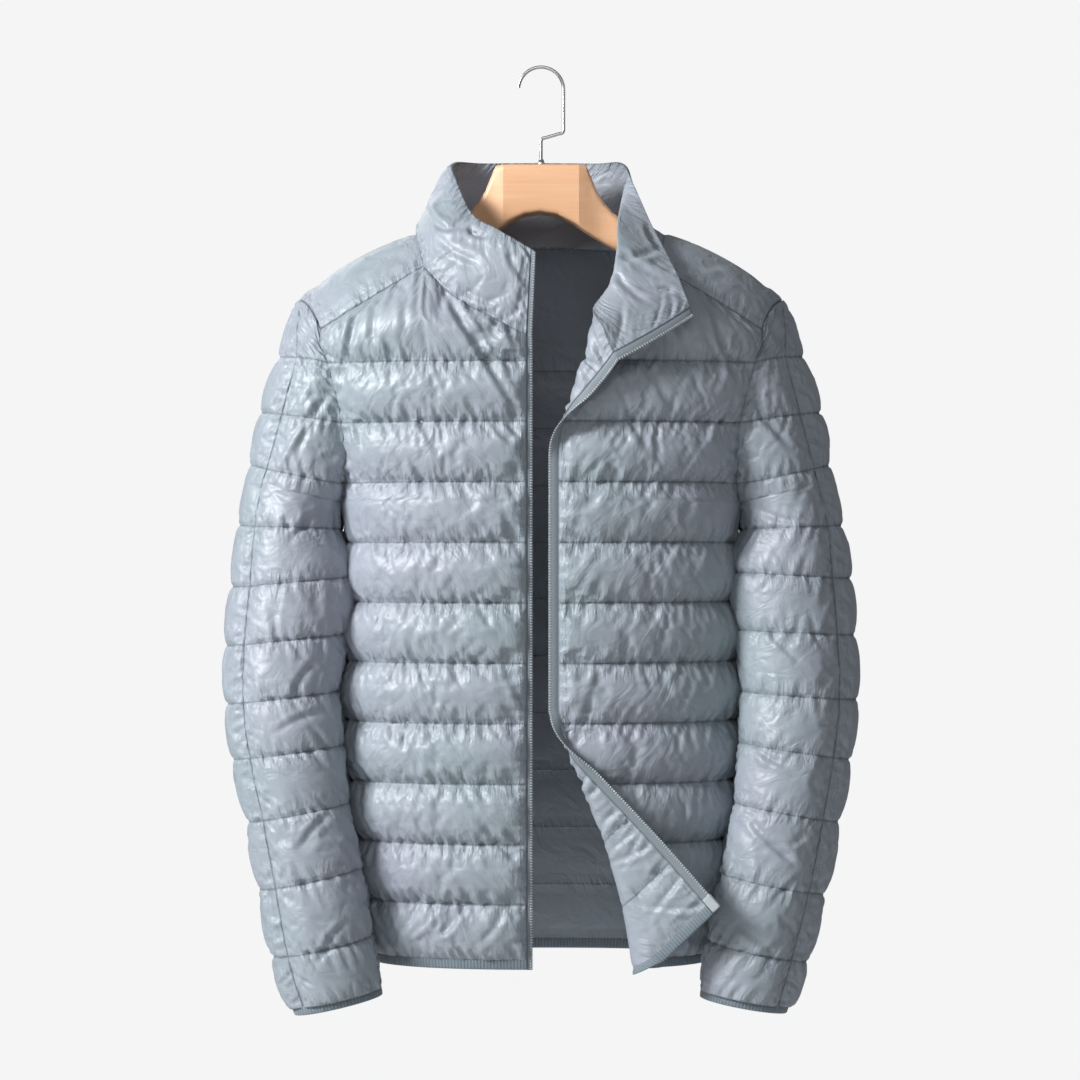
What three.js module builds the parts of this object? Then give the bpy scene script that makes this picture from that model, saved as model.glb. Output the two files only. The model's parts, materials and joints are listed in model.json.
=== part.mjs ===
// Puffer jacket on a wooden hanger with a stepped wire hook.
// Millimetres, +Z up, the front faces -Y. "Right" and "left" are the wearer's own, so right is -X.
// The origin is the inside top of the hook, where a rail carries the hanger.
// Every cloth piece is a wall: a plain inside surface, and an outside surface that the filling raises
// between the quilting seams. The two surfaces come close together again at each seam.
import * as THREE from 'three';
import { RoundedBoxGeometry } from 'three/addons/geometries/RoundedBoxGeometry.js';

const RIGHT = -1;
const LEFT = 1;
const FRONT = -1;
const BACK = 1;

// Cloth
const wall = 2;              // both layers and the flattened filling at a seam
const seamGap = 0.3;
const bodyPuff = 10;         // how far the filling raises a body baffle
const sleevePuff = 7;
const collarPuff = 5;
const yokePuff = 4;
const bafflePlumpness = 2.5; // a higher value makes a baffle's section squarer
const mitreLimit = 1.5;      // the longest mitre at a seam, in wall thicknesses
const samePlace = 0.05;      // edge points this close belong to one seam

// Quilting of the body: baffles of one height, between the top edge and the hem
const firstSeamZ = -284;
const hemZ = -841;
const bafflePitch = 56;
const rowsPerBaffle = 3;
const bodyBaffles = 11;
const bodyRows = bodyBaffles * rowsPerBaffle;
const underarmRow = 10;
const underarmX = 187;
const armpitReach = 110;     // how far round the underarm the filling is pressed thin
const sleeveRows = bodyRows + rowsPerBaffle;

// Shoulders and neck
const neckHalfWidth = 117;
const neckSideZ = -161;
const ridgeSlope = 0.30;
const ridgeDroop = 0.0022;
const shoulderTipX = 229;
const yokeNeckFrontX = 109;
const yokeNeckBackX = 105;
const yokeArmX = 206;
const frontYokeSlope = 0.6;
const backYokeSlope = 0.78;
const backNeckZ = -174;
const backNeckRise = 5;      // how much higher the back's neckline is at its middle
const frontEdgeX = { [RIGHT]: -13, [LEFT]: 16 };

// Columns of the panels, from the front edge outward, or from side to side on the back
const frontNeckColumns = { [RIGHT]: 6, [LEFT]: 14 };
const yokeColumns = 6;
const backNeckColumns = 8;
const yokeSegments = 14;     // from the front yoke seam over the shoulder to the back yoke seam
const sleeveFrontColumns = 5;
const sleeveBackColumns = yokeSegments - sleeveFrontColumns;
const sleeveSeamAngle = 44 * Math.PI / 180;
const capBulge = 7;          // how far the sleeve's top baffle stands out beyond the shoulder
const capRise = 0.8;         // its rise, as a share of that

// Level sections of the body at the plain inside of the cloth. Above the first seam the width is
// the one that the shoulders are cut from, and the armhole cuts it short.
const roundness = 2 / 2.4;
const bodySections = [
  { z: -841, halfWidth: 163, front: 82, back: 88, middle: 16 },
  { z: -770, halfWidth: 175, front: 93, back: 96, middle: 17 },
  { z: -700, halfWidth: 184, front: 98, back: 98, middle: 14 },
  { z: -600, halfWidth: 186, front: 100, back: 98, middle: 9 },
  { z: -500, halfWidth: 183, front: 103, back: 99, middle: 5 },
  { z: -415, halfWidth: 187, front: 105, back: 100, middle: 0 },
  { z: -340, halfWidth: 213, front: 105, back: 100, middle: 0 },
  { z: -284, halfWidth: 235, front: 105, back: 100, middle: 0 },
];
const armholeEdge = [
  { z: -415, x: 187 },
  { z: -400, x: 185 },
  { z: -366, x: 184 },
  { z: -325, x: 189 },
  { z: -284, x: 199 },
  { z: -253, x: 206 },
];
const frontNeckline = [
  { x: 0, z: -261 },
  { x: 16, z: -259 },
  { x: 45, z: -244 },
  { x: 70, z: -231 },
  { x: 92, z: -214 },
  { x: 109, z: -195 },
];

// The sleeves hang beside the body and swing forward to the cuff. Each row is a level of the
// quilting: the outer and inner point of the section in front view, its half depth, and its middle's y.
const sleeveSections = {
  [RIGHT]: [
    { row: 3, outerX: 245, outerZ: -277, innerX: 124, innerZ: -288, depth: 68, y: 0 },
    { row: 6, outerX: 260, outerZ: -330, innerX: 134, innerZ: -345, depth: 65, y: 0 },
    { row: 9, outerX: 270, outerZ: -380, innerX: 174, innerZ: -404, depth: 63, y: 0 },
    { row: 10, outerX: 274, outerZ: -399, innerX: 187, innerZ: -414.7, depth: 62, y: 0 },
    { row: 12, outerX: 282, outerZ: -437, innerX: 197, innerZ: -440, depth: 60, y: -5 },
    { row: 15, outerX: 290, outerZ: -495, innerX: 191, innerZ: -485, depth: 56, y: -16 },
    { row: 18, outerX: 295, outerZ: -550, innerX: 191, innerZ: -538, depth: 53, y: -26 },
    { row: 21, outerX: 294, outerZ: -604, innerX: 196, innerZ: -592, depth: 51, y: -34 },
    { row: 24, outerX: 287, outerZ: -655, innerX: 192, innerZ: -643, depth: 49, y: -42 },
    { row: 27, outerX: 273, outerZ: -713, innerX: 187, innerZ: -697, depth: 47, y: -50 },
    { row: 30, outerX: 260, outerZ: -776, innerX: 174, innerZ: -757, depth: 44, y: -59 },
    { row: 33, outerX: 247, outerZ: -838, innerX: 163, innerZ: -820, depth: 40, y: -66 },
    { row: 36, outerX: 230, outerZ: -890, innerX: 154, innerZ: -872, depth: 33, y: -70 },
  ],
  [LEFT]: [
    { row: 3, outerX: 245, outerZ: -277, innerX: 124, innerZ: -288, depth: 68, y: 0 },
    { row: 6, outerX: 260, outerZ: -330, innerX: 134, innerZ: -345, depth: 65, y: 0 },
    { row: 9, outerX: 269, outerZ: -380, innerX: 172, innerZ: -404, depth: 63, y: 0 },
    { row: 10, outerX: 272, outerZ: -399, innerX: 187, innerZ: -414.7, depth: 62, y: 0 },
    { row: 12, outerX: 280, outerZ: -437, innerX: 197, innerZ: -440, depth: 60, y: -5 },
    { row: 15, outerX: 287, outerZ: -487, innerX: 190, innerZ: -480, depth: 56, y: -16 },
    { row: 18, outerX: 291, outerZ: -540, innerX: 193, innerZ: -534, depth: 53, y: -26 },
    { row: 21, outerX: 293, outerZ: -600, innerX: 194, innerZ: -592, depth: 51, y: -34 },
    { row: 24, outerX: 288, outerZ: -655, innerX: 193, innerZ: -640, depth: 49, y: -42 },
    { row: 27, outerX: 279, outerZ: -713, innerX: 187, innerZ: -696, depth: 47, y: -50 },
    { row: 30, outerX: 267, outerZ: -780, innerX: 177, innerZ: -762, depth: 44, y: -59 },
    { row: 33, outerX: 249, outerZ: -842, innerX: 164, innerZ: -824, depth: 40, y: -66 },
    { row: 36, outerX: 236, outerZ: -888, innerX: 158, innerZ: -874, depth: 33, y: -70 },
  ],
};

// The collar stands on the neckline. Each row is a place along it, from the right front edge (0)
// round the back (0.5) to the left front edge (1): the top edge, and the point that the section
// bends towards. On the left the collar rolls outward, so that its inside faces the front.
const collarSections = [
  { at: 0.00, topX: -9, topY: -101, topZ: -181, bendX: -11, bendY: -108, bendZ: -220 },
  { at: 0.12, topX: -40, topY: -90, topZ: -162, bendX: -52, bendY: -100, bendZ: -198 },
  { at: 0.22, topX: -64, topY: -62, topZ: -146, bendX: -92, bendY: -84, bendZ: -168 },
  { at: 0.32, topX: -80, topY: -22, topZ: -108, bendX: -106, bendY: -30, bendZ: -138 },
  { at: 0.40, topX: -82, topY: 20, topZ: -88, bendX: -100, bendY: 26, bendZ: -128 },
  { at: 0.46, topX: -52, topY: 48, topZ: -85, bendX: -58, bendY: 50, bendZ: -130 },
  { at: 0.50, topX: 0, topY: 54, topZ: -84, bendX: 0, bendY: 53, bendZ: -130 },
  { at: 0.54, topX: 50, topY: 49, topZ: -85, bendX: 56, bendY: 50, bendZ: -130 },
  { at: 0.60, topX: 77, topY: 26, topZ: -88, bendX: 90, bendY: 28, bendZ: -126 },
  { at: 0.65, topX: 87, topY: -4, topZ: -108, bendX: 60, bendY: -2, bendZ: -122 },
  { at: 0.71, topX: 103, topY: -42, topZ: -150, bendX: 38, bendY: -48, bendZ: -124 },
  { at: 0.78, topX: 117, topY: -74, topZ: -182, bendX: 27, bendY: -96, bendZ: -152 },
  { at: 0.86, topX: 127, topY: -104, topZ: -207, bendX: 34, bendY: -124, bendZ: -194 },
  { at: 0.93, topX: 132, topY: -113, topZ: -222, bendX: 58, bendY: -136, bendZ: -228 },
  { at: 1.00, topX: 137, topY: -115, topZ: -235, bendX: 108, bendY: -134, bendZ: -256 },
];
const collarRows = 6;

// The left front is turned outward in two places: its top corner as a lapel, and its bottom corner.
// Each fold starts at a point, runs up or down along a tilted line, and bends the cloth round a small
// roll, by the turn in degrees. The plane is the depth of the cloth at the roll, and it leans along it.
const folds = [
  { x: 19.5, z: -370, tilt: 20.7, upward: true, radius: 9, turn: 158, plane: -106, lean: -0.02 },
  { x: 36, z: -652, tilt: 22.5, upward: false, radius: 9, turn: 160, plane: -98, lean: 0.05 },
];
const foldReach = 40;        // how far past its start a fold still bends the cloth
const foldPressed = { share: 0.85, at: 12, width: 22 };

// Edge strips
const hemBandHeight = 9;
const cuffBandHeight = 7;
const bandThickness = 3;
const tapeWidth = { [RIGHT]: 5, [LEFT]: 9 };
const tapeThickness = 1.8;
const boxSize = { width: 9, length: 15, thickness: 4.5, edgeRadius: 1 };
const boxOverhang = 2;       // how far its middle lies beyond the tape's middle

// Hanger
const hangerClearance = 0.5;
const hangerStations = [
  { x: 0, top: -92.6, bottom: -138.5, halfDepth: 19, squareness: 0.5 },
  { x: 16, top: -92.6, bottom: -141, halfDepth: 19, squareness: 0.5 },
  { x: 34, top: -92.6, bottom: -151, halfDepth: 18, squareness: 0.5 },
  { x: 43, top: -93.6, bottom: -157, halfDepth: 18, squareness: 0.5 },
  { x: 53, top: -117, bottom: -163, halfDepth: 17, squareness: 0.6 },
  { x: 68, top: -137, bottom: -172, halfDepth: 17, squareness: 0.7 },
  { x: 92, top: -152, bottom: -184, halfDepth: 17, squareness: 0.85 },
];
const armSquareness = 0.95;
const hangerArmEnd = 200;
const hangerArmSteps = 6;
const hangerArmHeight = 34;
const hangerArmTipHeight = 24;
const hangerArmDepth = 17;
const hangerArmTipDepth = 22;
const hangerSides = 12;
const wireRadius = 1.6;
const hookRadius = 21.5;
const hookTurn = 175;        // degrees of the arc over the rail
const hookStep = { low: -66, high: -62, corner: 4 };
const hookArcSteps = 10;
const hookLengthSteps = 40;
const hookCornerSteps = 4;

const degrees = Math.PI / 180;
const vec = (x, y, z) => new THREE.Vector3(x, y, z);
const lerp = THREE.MathUtils.lerp;
const clamp = THREE.MathUtils.clamp;
const smooth = (t) => THREE.MathUtils.smoothstep(t, 0, 1);

// A column of a table as a smooth curve through its rows
function lookUp(table, key, at, column) {
  const rows = table[0][key] < table[table.length - 1][key] ? table : [...table].reverse();
  const last = rows.length - 1;
  const value = clamp(at, rows[0][key], rows[last][key]);
  let i = 0;
  while (i < last - 1 && value > rows[i + 1][key]) i += 1;
  const slope = (a, b) => (rows[b][column] - rows[a][column]) / (rows[b][key] - rows[a][key]);
  const span = rows[i + 1][key] - rows[i][key];
  const t = (value - rows[i][key]) / span;
  const startSlope = slope(Math.max(i - 1, 0), i + 1);
  const endSlope = slope(i, Math.min(i + 2, last));
  const t2 = t * t;
  const t3 = t2 * t;
  return (2 * t3 - 3 * t2 + 1) * rows[i][column] + (t3 - 2 * t2 + t) * span * startSlope
    + (3 * t2 - 2 * t3) * rows[i + 1][column] + (t3 - t2) * span * endSlope;
}

// How far the filling raises the cloth between two seams, from 0 at a seam to 1 between them
function puffProfile(row, baffleRows) {
  const t = (row % baffleRows) / baffleRows;
  return 1 - Math.abs(2 * t - 1) ** bafflePlumpness;
}

// The filling thins out towards a panel's edge, and further in where a sleeve presses on the body
const firmFall = [0, 0.8, 1, 1];
const softFall = [0, 0.35, 0.75, 1];
function edgeFall(column, columns, firstFall = firmFall, lastFall = firmFall) {
  const reach = firmFall.length - 1;
  return firstFall[Math.min(column, reach)] * lastFall[Math.min(columns - column, reach)];
}

// Body surface
const rowZ = (row) => {
  const z = firstSeamZ - (row - rowsPerBaffle) * bafflePitch / rowsPerBaffle;
  const lastSeam = bodyRows - rowsPerBaffle;
  const lastSeamZ = firstSeamZ - (bodyBaffles - 2) * bafflePitch;
  return row <= lastSeam ? z : lerp(lastSeamZ, hemZ, (row - lastSeam) / rowsPerBaffle);
};

function ridgeZ(x) {
  const past = Math.max(Math.abs(x) - neckHalfWidth, 0);
  return neckSideZ - ridgeSlope * past - ridgeDroop * past * past;
}

function sectionAt(z) {
  const level = Math.min(z, firstSeamZ);
  const row = {};
  for (const column of ['halfWidth', 'front', 'back', 'middle']) {
    row[column] = lookUp(bodySections, 'z', level, column);
  }
  return row;
}

// The angle round a section that reaches a given distance from the middle
function angleAt(x, z) {
  const reach = clamp(Math.abs(x) / sectionAt(z).halfWidth, 0, 1);
  return Math.sign(x) * Math.asin(reach ** (1 / roundness));
}

function bodyPoint(face, angle, z) {
  const section = sectionAt(z);
  const x = section.halfWidth * Math.sign(angle) * Math.abs(Math.sin(angle)) ** roundness;
  const reach = (face === FRONT ? -section.front : section.back) - section.middle;
  const y = section.middle + reach * Math.abs(Math.cos(angle)) ** roundness;
  if (z <= firstSeamZ) return vec(x, y, z);
  const rise = clamp((z - firstSeamZ) / (ridgeZ(x) - firstSeamZ), 0, 1);
  const swing = Math.sqrt(1 - rise * rise);
  return vec(x, y * swing, z);
}

function topEdgeZ(face, x) {
  const reach = Math.abs(x);
  if (face === FRONT) {
    const past = reach - yokeNeckFrontX;
    const corner = frontNeckline[frontNeckline.length - 1].z;
    return past > 0 ? corner - frontYokeSlope * past : lookUp(frontNeckline, 'x', reach, 'z');
  }
  const past = reach - yokeNeckBackX;
  if (past > 0) return backNeckZ - backYokeSlope * past;
  return backNeckZ + backNeckRise * (1 - (reach / yokeNeckBackX) ** 2);
}

function sideAngle(row) {
  if (row >= underarmRow) return Math.PI / 2;
  const x = row === 0 ? yokeArmX : lookUp(armholeEdge, 'z', rowZ(row), 'x');
  return angleAt(x, rowZ(row));
}

// A point of a front or back panel, on a column whose angle is known at each row. The rows above
// the first seam spread the way to the top edge evenly.
function panelPoint(face, angleOf, row) {
  const angle = angleOf(row);
  if (row >= rowsPerBaffle) return bodyPoint(face, angle, rowZ(row));
  const topX = bodyPoint(face, angleOf(0), firstSeamZ).x;
  const z = lerp(topEdgeZ(face, topX), firstSeamZ, row / rowsPerBaffle);
  return bodyPoint(face, angle, z);
}

function cornerShare(face, from) {
  const neckX = face === FRONT ? yokeNeckFrontX : yokeNeckBackX;
  const start = angleAt(from, firstSeamZ);
  const end = angleAt(yokeArmX, firstSeamZ);
  return (angleAt(neckX, firstSeamZ) - start) / (end - start);
}

function columnShares(face, from, neckColumns) {
  const corner = cornerShare(face, from);
  const neck = Array.from({ length: neckColumns }, (_, i) => corner * i / neckColumns);
  const yoke = Array.from({ length: yokeColumns + 1 }, (_, i) => lerp(corner, 1, i / yokeColumns));
  return [...neck, ...yoke];
}

// Grids of base points

function frontGrid(side) {
  const edge = Math.abs(frontEdgeX[side]);
  const shares = columnShares(FRONT, edge, frontNeckColumns[side]);
  const grid = [];
  for (let row = 0; row <= bodyRows; row += 1) {
    grid.push(shares.map((share) => {
      const angleOf = (r) => side * lerp(angleAt(edge, rowZ(r)), sideAngle(r), share);
      return panelPoint(FRONT, angleOf, row);
    }));
  }
  return grid;
}

function backGrid() {
  const half = columnShares(BACK, 0, backNeckColumns / 2);
  const shares = [...half.slice(1).reverse().map((share) => -share), ...half];
  const grid = [];
  for (let row = 0; row <= bodyRows; row += 1) {
    grid.push(shares.map((share) => panelPoint(BACK, (r) => share * sideAngle(r), row)));
  }
  return grid;
}

// The yoke goes over the shoulder. Its rows run from the neck to the armhole.
function yokeGrid(side, front, back) {
  const frontTop = front[0].slice(-yokeColumns - 1);
  const backTop = side === RIGHT
    ? back[0].slice(0, yokeColumns + 1).reverse()
    : back[0].slice(-yokeColumns - 1);
  const grid = [];
  for (let i = 0; i <= yokeSegments; i += 1) {
    const t = 2 * i / yokeSegments - 1;
    const seam = t < 0 ? frontTop : backTop;
    const face = t < 0 ? FRONT : BACK;
    grid.push(seam.map((edge, column) => {
      const ridgeX = lerp(neckHalfWidth, shoulderTipX, column / yokeColumns);
      const x = side * lerp(ridgeX, Math.abs(edge.x), t * t);
      if (Math.abs(t) === 1) return edge.clone();
      const rise = (edge.z - firstSeamZ) / (ridgeZ(edge.x) - firstSeamZ);
      const swing = Math.abs(t) * Math.sqrt(1 - rise * rise);
      const z = firstSeamZ + (ridgeZ(x) - firstSeamZ) * Math.sqrt(1 - swing * swing);
      return bodyPoint(face, angleAt(x, z), z);
    }));
  }
  return grid;
}

function sleeveSection(side, row) {
  const table = sleeveSections[side];
  const value = (column) => lookUp(table, 'row', row, column);
  const outer = vec(side * value('outerX'), value('y'), value('outerZ'));
  const inner = vec(side * value('innerX'), value('y'), value('innerZ'));
  return { outer, inner, depth: value('depth') };
}

function sleeveRing(side, face, row, columns, edge) {
  const { outer, inner, depth } = sleeveSection(side, row);
  const middle = outer.clone().add(inner).multiplyScalar(0.5);
  const across = outer.clone().sub(middle);
  const width = across.length();
  let endAngle = Math.PI;
  if (edge && row < underarmRow) {
    const reach = edge.clone().sub(middle).dot(across) / (width * width);
    endAngle = Math.atan2(Math.abs(edge.y - middle.y) / depth, reach);
  }
  const startAngle = -face * sleeveSeamAngle;
  const points = [];
  for (let i = 0; i <= columns; i += 1) {
    const angle = lerp(startAngle, endAngle, i / columns);
    const point = middle.clone().addScaledVector(across, Math.cos(angle));
    point.y += face * depth * Math.sin(angle);
    points.push(point);
  }
  if (edge) {
    const miss = edge.clone().sub(points[columns]);
    points.forEach((point, i) => point.addScaledVector(miss, (i / columns) ** 2));
  }
  return points;
}

// Half a sleeve, from the seam that runs down its outside to the armhole or the inner seam
function sleeveGrid(side, face, yoke, body) {
  const columns = face === FRONT ? sleeveFrontColumns : sleeveBackColumns;
  const yokeEdge = yoke.map((row) => row[yokeColumns].clone());
  const top = face === FRONT
    ? yokeEdge.slice(0, columns + 1).reverse()
    : yokeEdge.slice(sleeveFrontColumns);
  const bodyEdge = (row) => {
    const points = body[row];
    const first = face === BACK && side === RIGHT;
    return points[first ? 0 : points.length - 1];
  };
  const firstRing = sleeveRing(side, face, rowsPerBaffle, columns, bodyEdge(rowsPerBaffle));
  const grid = [top];
  for (let row = 1; row <= sleeveRows; row += 1) {
    const edge = row <= underarmRow ? bodyEdge(row) : null;
    if (row >= rowsPerBaffle) {
      grid.push(sleeveRing(side, face, row, columns, edge));
      continue;
    }
    const t = row / rowsPerBaffle;
    const points = top.map((point, i) => {
      const bulge = capBulge * Math.sin(Math.PI * t) * (1 - (i / columns) ** 2);
      return point.clone().lerp(firstRing[i], t).add(vec(side * bulge, 0, capRise * bulge));
    });
    const miss = edge.clone().sub(points[columns]);
    points.forEach((point, i) => point.addScaledVector(miss, (i / columns) ** 2));
    grid.push(points);
  }
  return grid;
}

// The collar stands on the row of base points that runs round the neck
function collarGrid(neck) {
  const lengths = [0];
  for (let i = 1; i < neck.length; i += 1) lengths.push(lengths[i - 1] + neck[i].distanceTo(neck[i - 1]));
  const total = lengths[lengths.length - 1];
  const grid = [];
  for (let row = 0; row <= collarRows; row += 1) {
    const t = row / collarRows;
    grid.push(neck.map((base, i) => {
      const at = lengths[i] / total;
      const value = (column) => lookUp(collarSections, 'at', at, column);
      const top = vec(value('topX'), value('topY'), value('topZ'));
      const bend = vec(value('bendX'), value('bendY'), value('bendZ'));
      return base.clone().multiplyScalar((1 - t) * (1 - t))
        .addScaledVector(bend, 2 * t * (1 - t))
        .addScaledVector(top, t * t);
    }));
  }
  return grid;
}

// Turning a corner of the left front outward

// Where a point lies beside a fold's line: past it, towards the front edge, and along it
function foldPlace(fold, point) {
  const upward = fold.upward ? 1 : -1;
  const along = vec(Math.sin(fold.tilt * degrees), 0, upward * Math.cos(fold.tilt * degrees));
  const past = vec(-Math.abs(along.z), 0, upward * along.x);
  const offset = point.clone().sub(vec(fold.x, 0, fold.z));
  const inReach = upward * offset.z > -foldReach;
  return { past, distance: offset.dot(past), run: offset.dot(along), inReach };
}

function turnOut(point) {
  const moved = point.clone();
  for (const fold of folds) {
    const { past, distance, run, inReach } = foldPlace(fold, point);
    if (distance <= 0 || !inReach) continue;
    const plane = fold.plane + Math.max(run, 0) * fold.lean;
    const height = plane - point.y;
    const turn = fold.turn * degrees;
    const bent = Math.min(distance / fold.radius, turn);
    const straight = distance - fold.radius * bent;
    const inside = fold.radius - height;
    const across = inside * Math.sin(bent) + straight * Math.cos(bent);
    const rise = fold.radius - inside * Math.cos(bent) + straight * Math.sin(bent);
    moved.addScaledVector(past, across - distance);
    moved.y = plane - rise;
  }
  return moved;
}

// The filling is pressed flat in a fold
function foldPress(point) {
  let left = 1;
  for (const fold of folds) {
    const { distance, inReach } = foldPlace(fold, point);
    const away = (distance - foldPressed.at) / foldPressed.width;
    if (inReach) left *= 1 - foldPressed.share * Math.exp(-away * away);
  }
  return left;
}

// Panels: a grid of base points, and at each the offset to the outside of the wall

function gridNormals(grid) {
  const rows = grid.length;
  const columns = grid[0].length;
  const normals = [];
  for (let i = 0; i < rows; i += 1) {
    normals.push([]);
    for (let j = 0; j < columns; j += 1) {
      const down = grid[Math.min(i + 1, rows - 1)][j].clone().sub(grid[Math.max(i - 1, 0)][j]);
      const across = grid[i][Math.min(j + 1, columns - 1)].clone().sub(grid[i][Math.max(j - 1, 0)]);
      normals[i].push(across.cross(down).normalize());
    }
  }
  return normals;
}

function makePanel(name, finish, grid, { outward, puff, insideEvery = 1, bend = null }) {
  const normals = gridNormals(grid);
  const middle = normals[Math.floor(grid.length / 2)][Math.floor(grid[0].length / 2)];
  const flip = middle.dot(outward) < 0 ? -1 : 1;
  const base = [];
  const outer = [];
  grid.forEach((points, i) => {
    base.push([]);
    outer.push([]);
    points.forEach((point, j) => {
      const height = wall + puff(i, j, point);
      const raised = point.clone().addScaledVector(normals[i][j], flip * height);
      base[i].push(bend ? bend(point) : point.clone());
      outer[i].push(bend ? bend(raised) : raised);
    });
  });
  return { name, finish, base, outer, insideEvery };
}

function isEdge(panel, i, j) {
  return i === 0 || j === 0 || i === panel.base.length - 1 || j === panel.base[0].length - 1;
}

// Where panels meet, their walls end on one shared mitre
function shareSeams(panels) {
  const places = new Map();
  const keyOf = (point) => point.toArray().map((value) => Math.round(value / samePlace)).join(' ');
  for (const panel of panels) {
    panel.base.forEach((points, i) => points.forEach((point, j) => {
      if (!isEdge(panel, i, j)) return;
      const key = keyOf(point);
      if (!places.has(key)) places.set(key, []);
      places.get(key).push({ panel, i, j });
    }));
  }
  for (const meeting of places.values()) {
    if (meeting.length < 2) continue;
    const mean = vec(0, 0, 0);
    for (const { panel, i, j } of meeting) mean.add(panel.outer[i][j]).sub(panel.base[i][j]);
    mean.divideScalar(meeting.length);
    mean.multiplyScalar(Math.min(wall * wall / mean.lengthSq(), mitreLimit * wall / mean.length()));
    for (const { panel, i, j } of meeting) panel.outer[i][j] = panel.base[i][j].clone().add(mean);
  }
}

// Every panel stops half a seam gap short of its edge
function stepBack(panel) {
  const rows = panel.base.length;
  const columns = panel.base[0].length;
  const moves = [];
  panel.base.forEach((points, i) => points.forEach((point, j) => {
    if (!isEdge(panel, i, j)) return;
    const move = vec(0, 0, 0);
    const towards = (row, column) => {
      move.addScaledVector(panel.base[row][column].clone().sub(point).normalize(), seamGap / 2);
    };
    if (i === 0) towards(1, j);
    if (i === rows - 1) towards(rows - 2, j);
    if (j === 0) towards(i, 1);
    if (j === columns - 1) towards(i, columns - 2);
    moves.push({ i, j, move });
  }));
  for (const { i, j, move } of moves) {
    panel.base[i][j] = panel.base[i][j].clone().add(move);
    panel.outer[i][j] = panel.outer[i][j].clone().add(move);
  }
}

function solidFrom(points, triangles) {
  let volume = 0;
  for (const [a, b, c] of triangles) volume += points[a].dot(points[b].clone().cross(points[c]));
  const facing = volume < 0 ? triangles.map(([a, b, c]) => [a, c, b]) : triangles;
  const geometry = new THREE.BufferGeometry();
  geometry.setAttribute('position', new THREE.Float32BufferAttribute(points.flatMap((p) => p.toArray()), 3));
  geometry.setIndex(facing.flat());
  geometry.computeVertexNormals();
  return geometry;
}

// A wall as one closed solid. The plain inside needs fewer rows than the raised outside.
function wallGeometry({ base, outer, insideEvery }) {
  const rows = base.length - 1;
  const columns = base[0].length - 1;
  const points = outer.flat();
  const outerAt = (i, j) => i * (columns + 1) + j;
  const insideRows = [];
  for (let i = 0; i < rows; i += insideEvery) insideRows.push(i);
  insideRows.push(rows);
  const insideStart = points.length;
  for (const i of insideRows) points.push(...base[i]);
  const insideAt = (k, j) => insideStart + k * (columns + 1) + j;
  const triangles = [];
  const quad = (a, b, c, d) => triangles.push([a, b, c], [a, c, d]);
  for (let i = 0; i < rows; i += 1) {
    for (let j = 0; j < columns; j += 1) {
      quad(outerAt(i, j), outerAt(i + 1, j), outerAt(i + 1, j + 1), outerAt(i, j + 1));
    }
  }
  const lastInside = insideRows.length - 1;
  for (let k = 0; k < lastInside; k += 1) {
    for (let j = 0; j < columns; j += 1) {
      quad(insideAt(k, j), insideAt(k, j + 1), insideAt(k + 1, j + 1), insideAt(k + 1, j));
    }
    for (const [j, flip] of [[0, false], [columns, true]]) {
      const rim = (a, b, c) => triangles.push(flip ? [a, c, b] : [a, b, c]);
      const from = insideRows[k];
      const to = insideRows[k + 1];
      const turn = Math.floor((from + to) / 2);
      for (let i = from; i < to; i += 1) {
        rim(outerAt(i, j), insideAt(i < turn ? k : k + 1, j), outerAt(i + 1, j));
        if (i === turn) rim(outerAt(i, j), insideAt(k, j), insideAt(k + 1, j));
      }
    }
  }
  for (let j = 0; j < columns; j += 1) {
    quad(outerAt(0, j), outerAt(0, j + 1), insideAt(0, j + 1), insideAt(0, j));
    quad(outerAt(rows, j), insideAt(lastInside, j), insideAt(lastInside, j + 1), outerAt(rows, j + 1));
  }
  return solidFrom(points, triangles);
}

// A strip through four-cornered sections, closed into a ring or capped at its ends
function stripGeometry(sections, ring) {
  const points = sections.flat();
  const count = sections.length;
  const triangles = [];
  const quad = (a, b, c, d) => triangles.push([a, b, c], [a, c, d]);
  const spans = ring ? count : count - 1;
  for (let i = 0; i < spans; i += 1) {
    const here = 4 * i;
    const next = 4 * ((i + 1) % count);
    for (let side = 0; side < 4; side += 1) {
      const other = (side + 1) % 4;
      quad(here + side, next + side, next + other, here + other);
    }
  }
  if (!ring) {
    quad(0, 1, 2, 3);
    const end = 4 * (count - 1);
    quad(end + 3, end + 2, end + 1, end);
  }
  return solidFrom(points, triangles);
}

// The sections of a strip beside an edge: each edge point has the wall's two corners and the
// direction that leads away from the panel.
function bandSections(edge, width, thickness, middleShift) {
  return edge.map(({ base, outer, away }) => {
    const out = outer.clone().sub(base).normalize();
    const corner = (reach, height) => base.clone().addScaledVector(away, reach).addScaledVector(out, height);
    const low = middleShift - thickness / 2;
    const high = middleShift + thickness / 2;
    return [corner(seamGap, low), corner(width, low), corner(width, high), corner(seamGap, high)];
  });
}

function edgeOf(panel, places) {
  return places.map(([i, j, inI, inJ]) => ({
    base: panel.base[i][j],
    outer: panel.outer[i][j],
    away: panel.base[i][j].clone().sub(panel.base[inI][inJ]).normalize(),
  }));
}

const columnEdge = (panel, j, inJ, rows) => edgeOf(panel, rows.map((i) => [i, j, i, inJ]));
const bottomEdge = (panel, columns) => {
  const last = panel.base.length - 1;
  return edgeOf(panel, columns.map((j) => [last, j, last - 1, j]));
};
const counting = (from, to) => {
  const step = to >= from ? 1 : -1;
  return Array.from({ length: Math.abs(to - from) + 1 }, (_, i) => from + i * step);
};

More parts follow.
